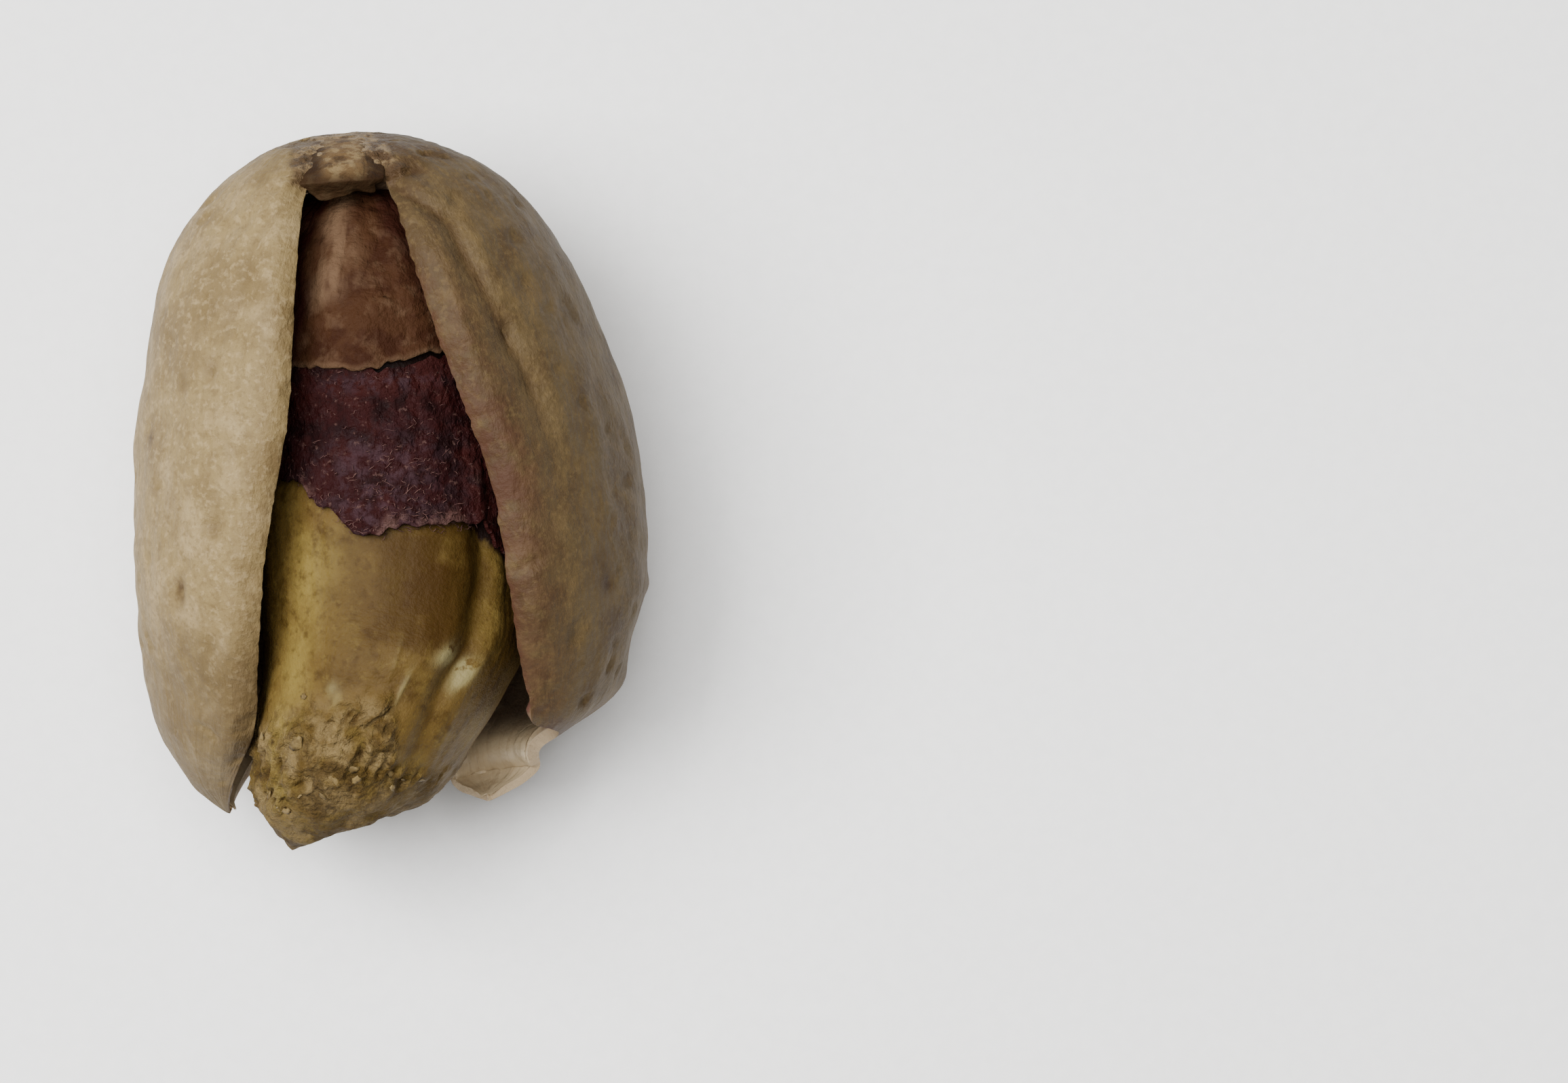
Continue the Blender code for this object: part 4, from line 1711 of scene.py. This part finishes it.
@dataclass
class Crumbs:
    """Chips of flesh and flakes of skin that still hang on the broken end of the kernel."""

    kernel: Kernel
    count: int = 16
    tilt: float = 0.35
    tone: Dry = Dry("dried chips of flesh", "#6a5834", "#453619")

    def add(self, heap: bmesh.types.BMesh, axial: float, turn: float, size: float) -> None:
        """Adds a crumb, pressed flat on the flesh.

        Args:
            heap: the mesh that it goes into.
            axial: its station.
            turn: its turn.
            size: its length, in millimetres.
        """
        point, outwards = self.kernel.plain_point(axial, turn, 0.0)
        point += outwards * (self.kernel.relief(axial, turn, point) + 0.02)
        spin = Matrix.Rotation(random.uniform(0.0, math.pi), 3, "Z")
        tilt = Matrix.Rotation(random.gauss(0.0, self.tilt), 3, "X")
        stands = outwards.to_track_quat("Z", "Y").to_matrix()
        flat = Matrix.Diagonal((1.0, random.uniform(0.3, 0.9), random.uniform(0.1, 0.2)))
        laid = stands @ spin @ tilt @ flat
        for vert in bmesh.ops.create_icosphere(heap, subdivisions=2, radius=1.0)["verts"]:
            jagged = 1.0 + 1.1 * noise.noise(vert.co * 1.7 + Vector((axial * 90.0, turn * 40.0, 0.0)))
            vert.co = LIE.matrix() @ (point + laid @ (vert.co * 0.5 * size * jagged))

    def build(self) -> bpy.types.Object:
        """Strews the crumbs and dresses them.

        Returns:
            The finished piece.
        """
        heap = bmesh.new()
        placed = 0
        while placed < self.count:
            axial = random.uniform(-0.9, -0.42)
            turn = random.uniform(-1.1, 0.6)
            near_rag = bump(axial, self.kernel.rag_edge(turn), 0.04)
            if random.random() < self.kernel.broken(axial, turn) * (0.25 + 0.75 * near_rag):
                self.add(heap, axial, turn, random.triangular(0.12, 0.55, 0.2))
                placed += 1
        face_outwards(heap)
        return finished_object("broken_chips", heap, [self.tone.make()], None)


@dataclass
class Studio:
    """The floor, a window to the left, a soft light overhead and the camera, almost straight above."""

    elevation: float = 84.0
    distance: float = 300.0
    nut_pixel: tuple[float, float] = (576.5, 723.3)
    floor_reach: float = 600.0

    def floor(self) -> None:
        """Adds the pale floor that the nut lies on."""
        sheet = bmesh.new()
        bmesh.ops.create_grid(sheet, x_segments=1, y_segments=1, size=self.floor_reach * MM)
        mesh = bpy.data.meshes.new("floor")
        sheet.to_mesh(mesh)
        sheet.free()
        paper = Finish("white paper floor", 0.9, 0.1)
        paper.base("#fcfbf9")
        paper.layer("#f8f7f5", paper.speckle(0.5, 0.3, 0.7))
        mesh.materials.append(paper.done())
        floor = bpy.data.objects.new("floor", mesh)
        bpy.context.scene.collection.objects.link(floor)

    def light(self, name: str, place: tuple[float, float, float], size: float, watts: float) -> None:
        """Adds a square soft light that faces the nut.

        Args:
            name: the light's name.
            place: where it is, in millimetres.
            size: its side, in millimetres.
            watts: its power.
        """
        lamp = bpy.data.lights.new(name, "AREA")
        lamp.size = size * MM
        lamp.energy = watts
        holder = bpy.data.objects.new(name, lamp)
        holder.location = Vector(place) * MM
        holder.rotation_euler = (-holder.location).to_track_quat("-Z", "Y").to_euler()
        bpy.context.scene.collection.objects.link(holder)

    def sky(self, strength: float) -> None:
        """Sets an even white surround of that strength.

        Args:
            strength: the surround's strength.
        """
        world = bpy.data.worlds.new("surround")
        world.use_nodes = True
        surround = world.node_tree.nodes["Background"]
        surround.inputs["Color"].default_value = (1.0, 1.0, 1.0, 1.0)
        surround.inputs["Strength"].default_value = strength
        bpy.context.scene.world = world

    def camera(self) -> None:
        """Adds the camera, moved sideways so that the nut stands at its place in the picture."""
        tilt = math.radians(self.elevation)
        forward = Vector((0.0, math.cos(tilt), -math.sin(tilt)))
        up = Vector((0.0, math.sin(tilt), math.cos(tilt)))
        right = Vector((1.0, 0.0, 0.0))
        target = Vector((0.0, 0.0, LIE.axis_place[2]))
        aside = (PHOTO_WIDTH / 2 - self.nut_pixel[0]) * MM_PER_PIXEL
        below = (self.nut_pixel[1] - PHOTO_HEIGHT / 2) * MM_PER_PIXEL
        place = target + right * aside + up * below - forward * self.distance
        lens = bpy.data.cameras.new("camera")
        lens.sensor_width = 36.0
        lens.lens = lens.sensor_width * self.distance / (PHOTO_WIDTH * MM_PER_PIXEL)
        lens.clip_start = 0.01
        lens.clip_end = 10.0
        holder = bpy.data.objects.new("camera", lens)
        holder.location = place * MM
        holder.rotation_euler = forward.to_track_quat("-Z", "Y").to_euler()
        bpy.context.scene.collection.objects.link(holder)
        bpy.context.scene.camera = holder

    def build(self) -> None:
        """Sets up the floor, the lights and the camera."""
        self.floor()
        self.light("window", place=(-130.0, 20.0, 240.0), size=150.0, watts=1.35)
        self.light("ceiling", place=(-15.0, 15.0, 285.0), size=170.0, watts=1.0)
        self.sky(strength=0.2)
        self.camera()


def main() -> None:
    """Builds the scene, piece by piece."""
    logging.basicConfig(level=logging.INFO, format="%(message)s")
    random.seed(7)
    Studio().build()
    shell = GrownShell()
    shell.build()
    StalkStub(shell).build()
    kernel = Kernel(CoatEdges())
    kernel.build()
    coat = SeedCoat(kernel)
    coat.build()
    Fibres(coat).build()
    Crumbs(kernel).build()


if __name__ == "__main__":
    main()
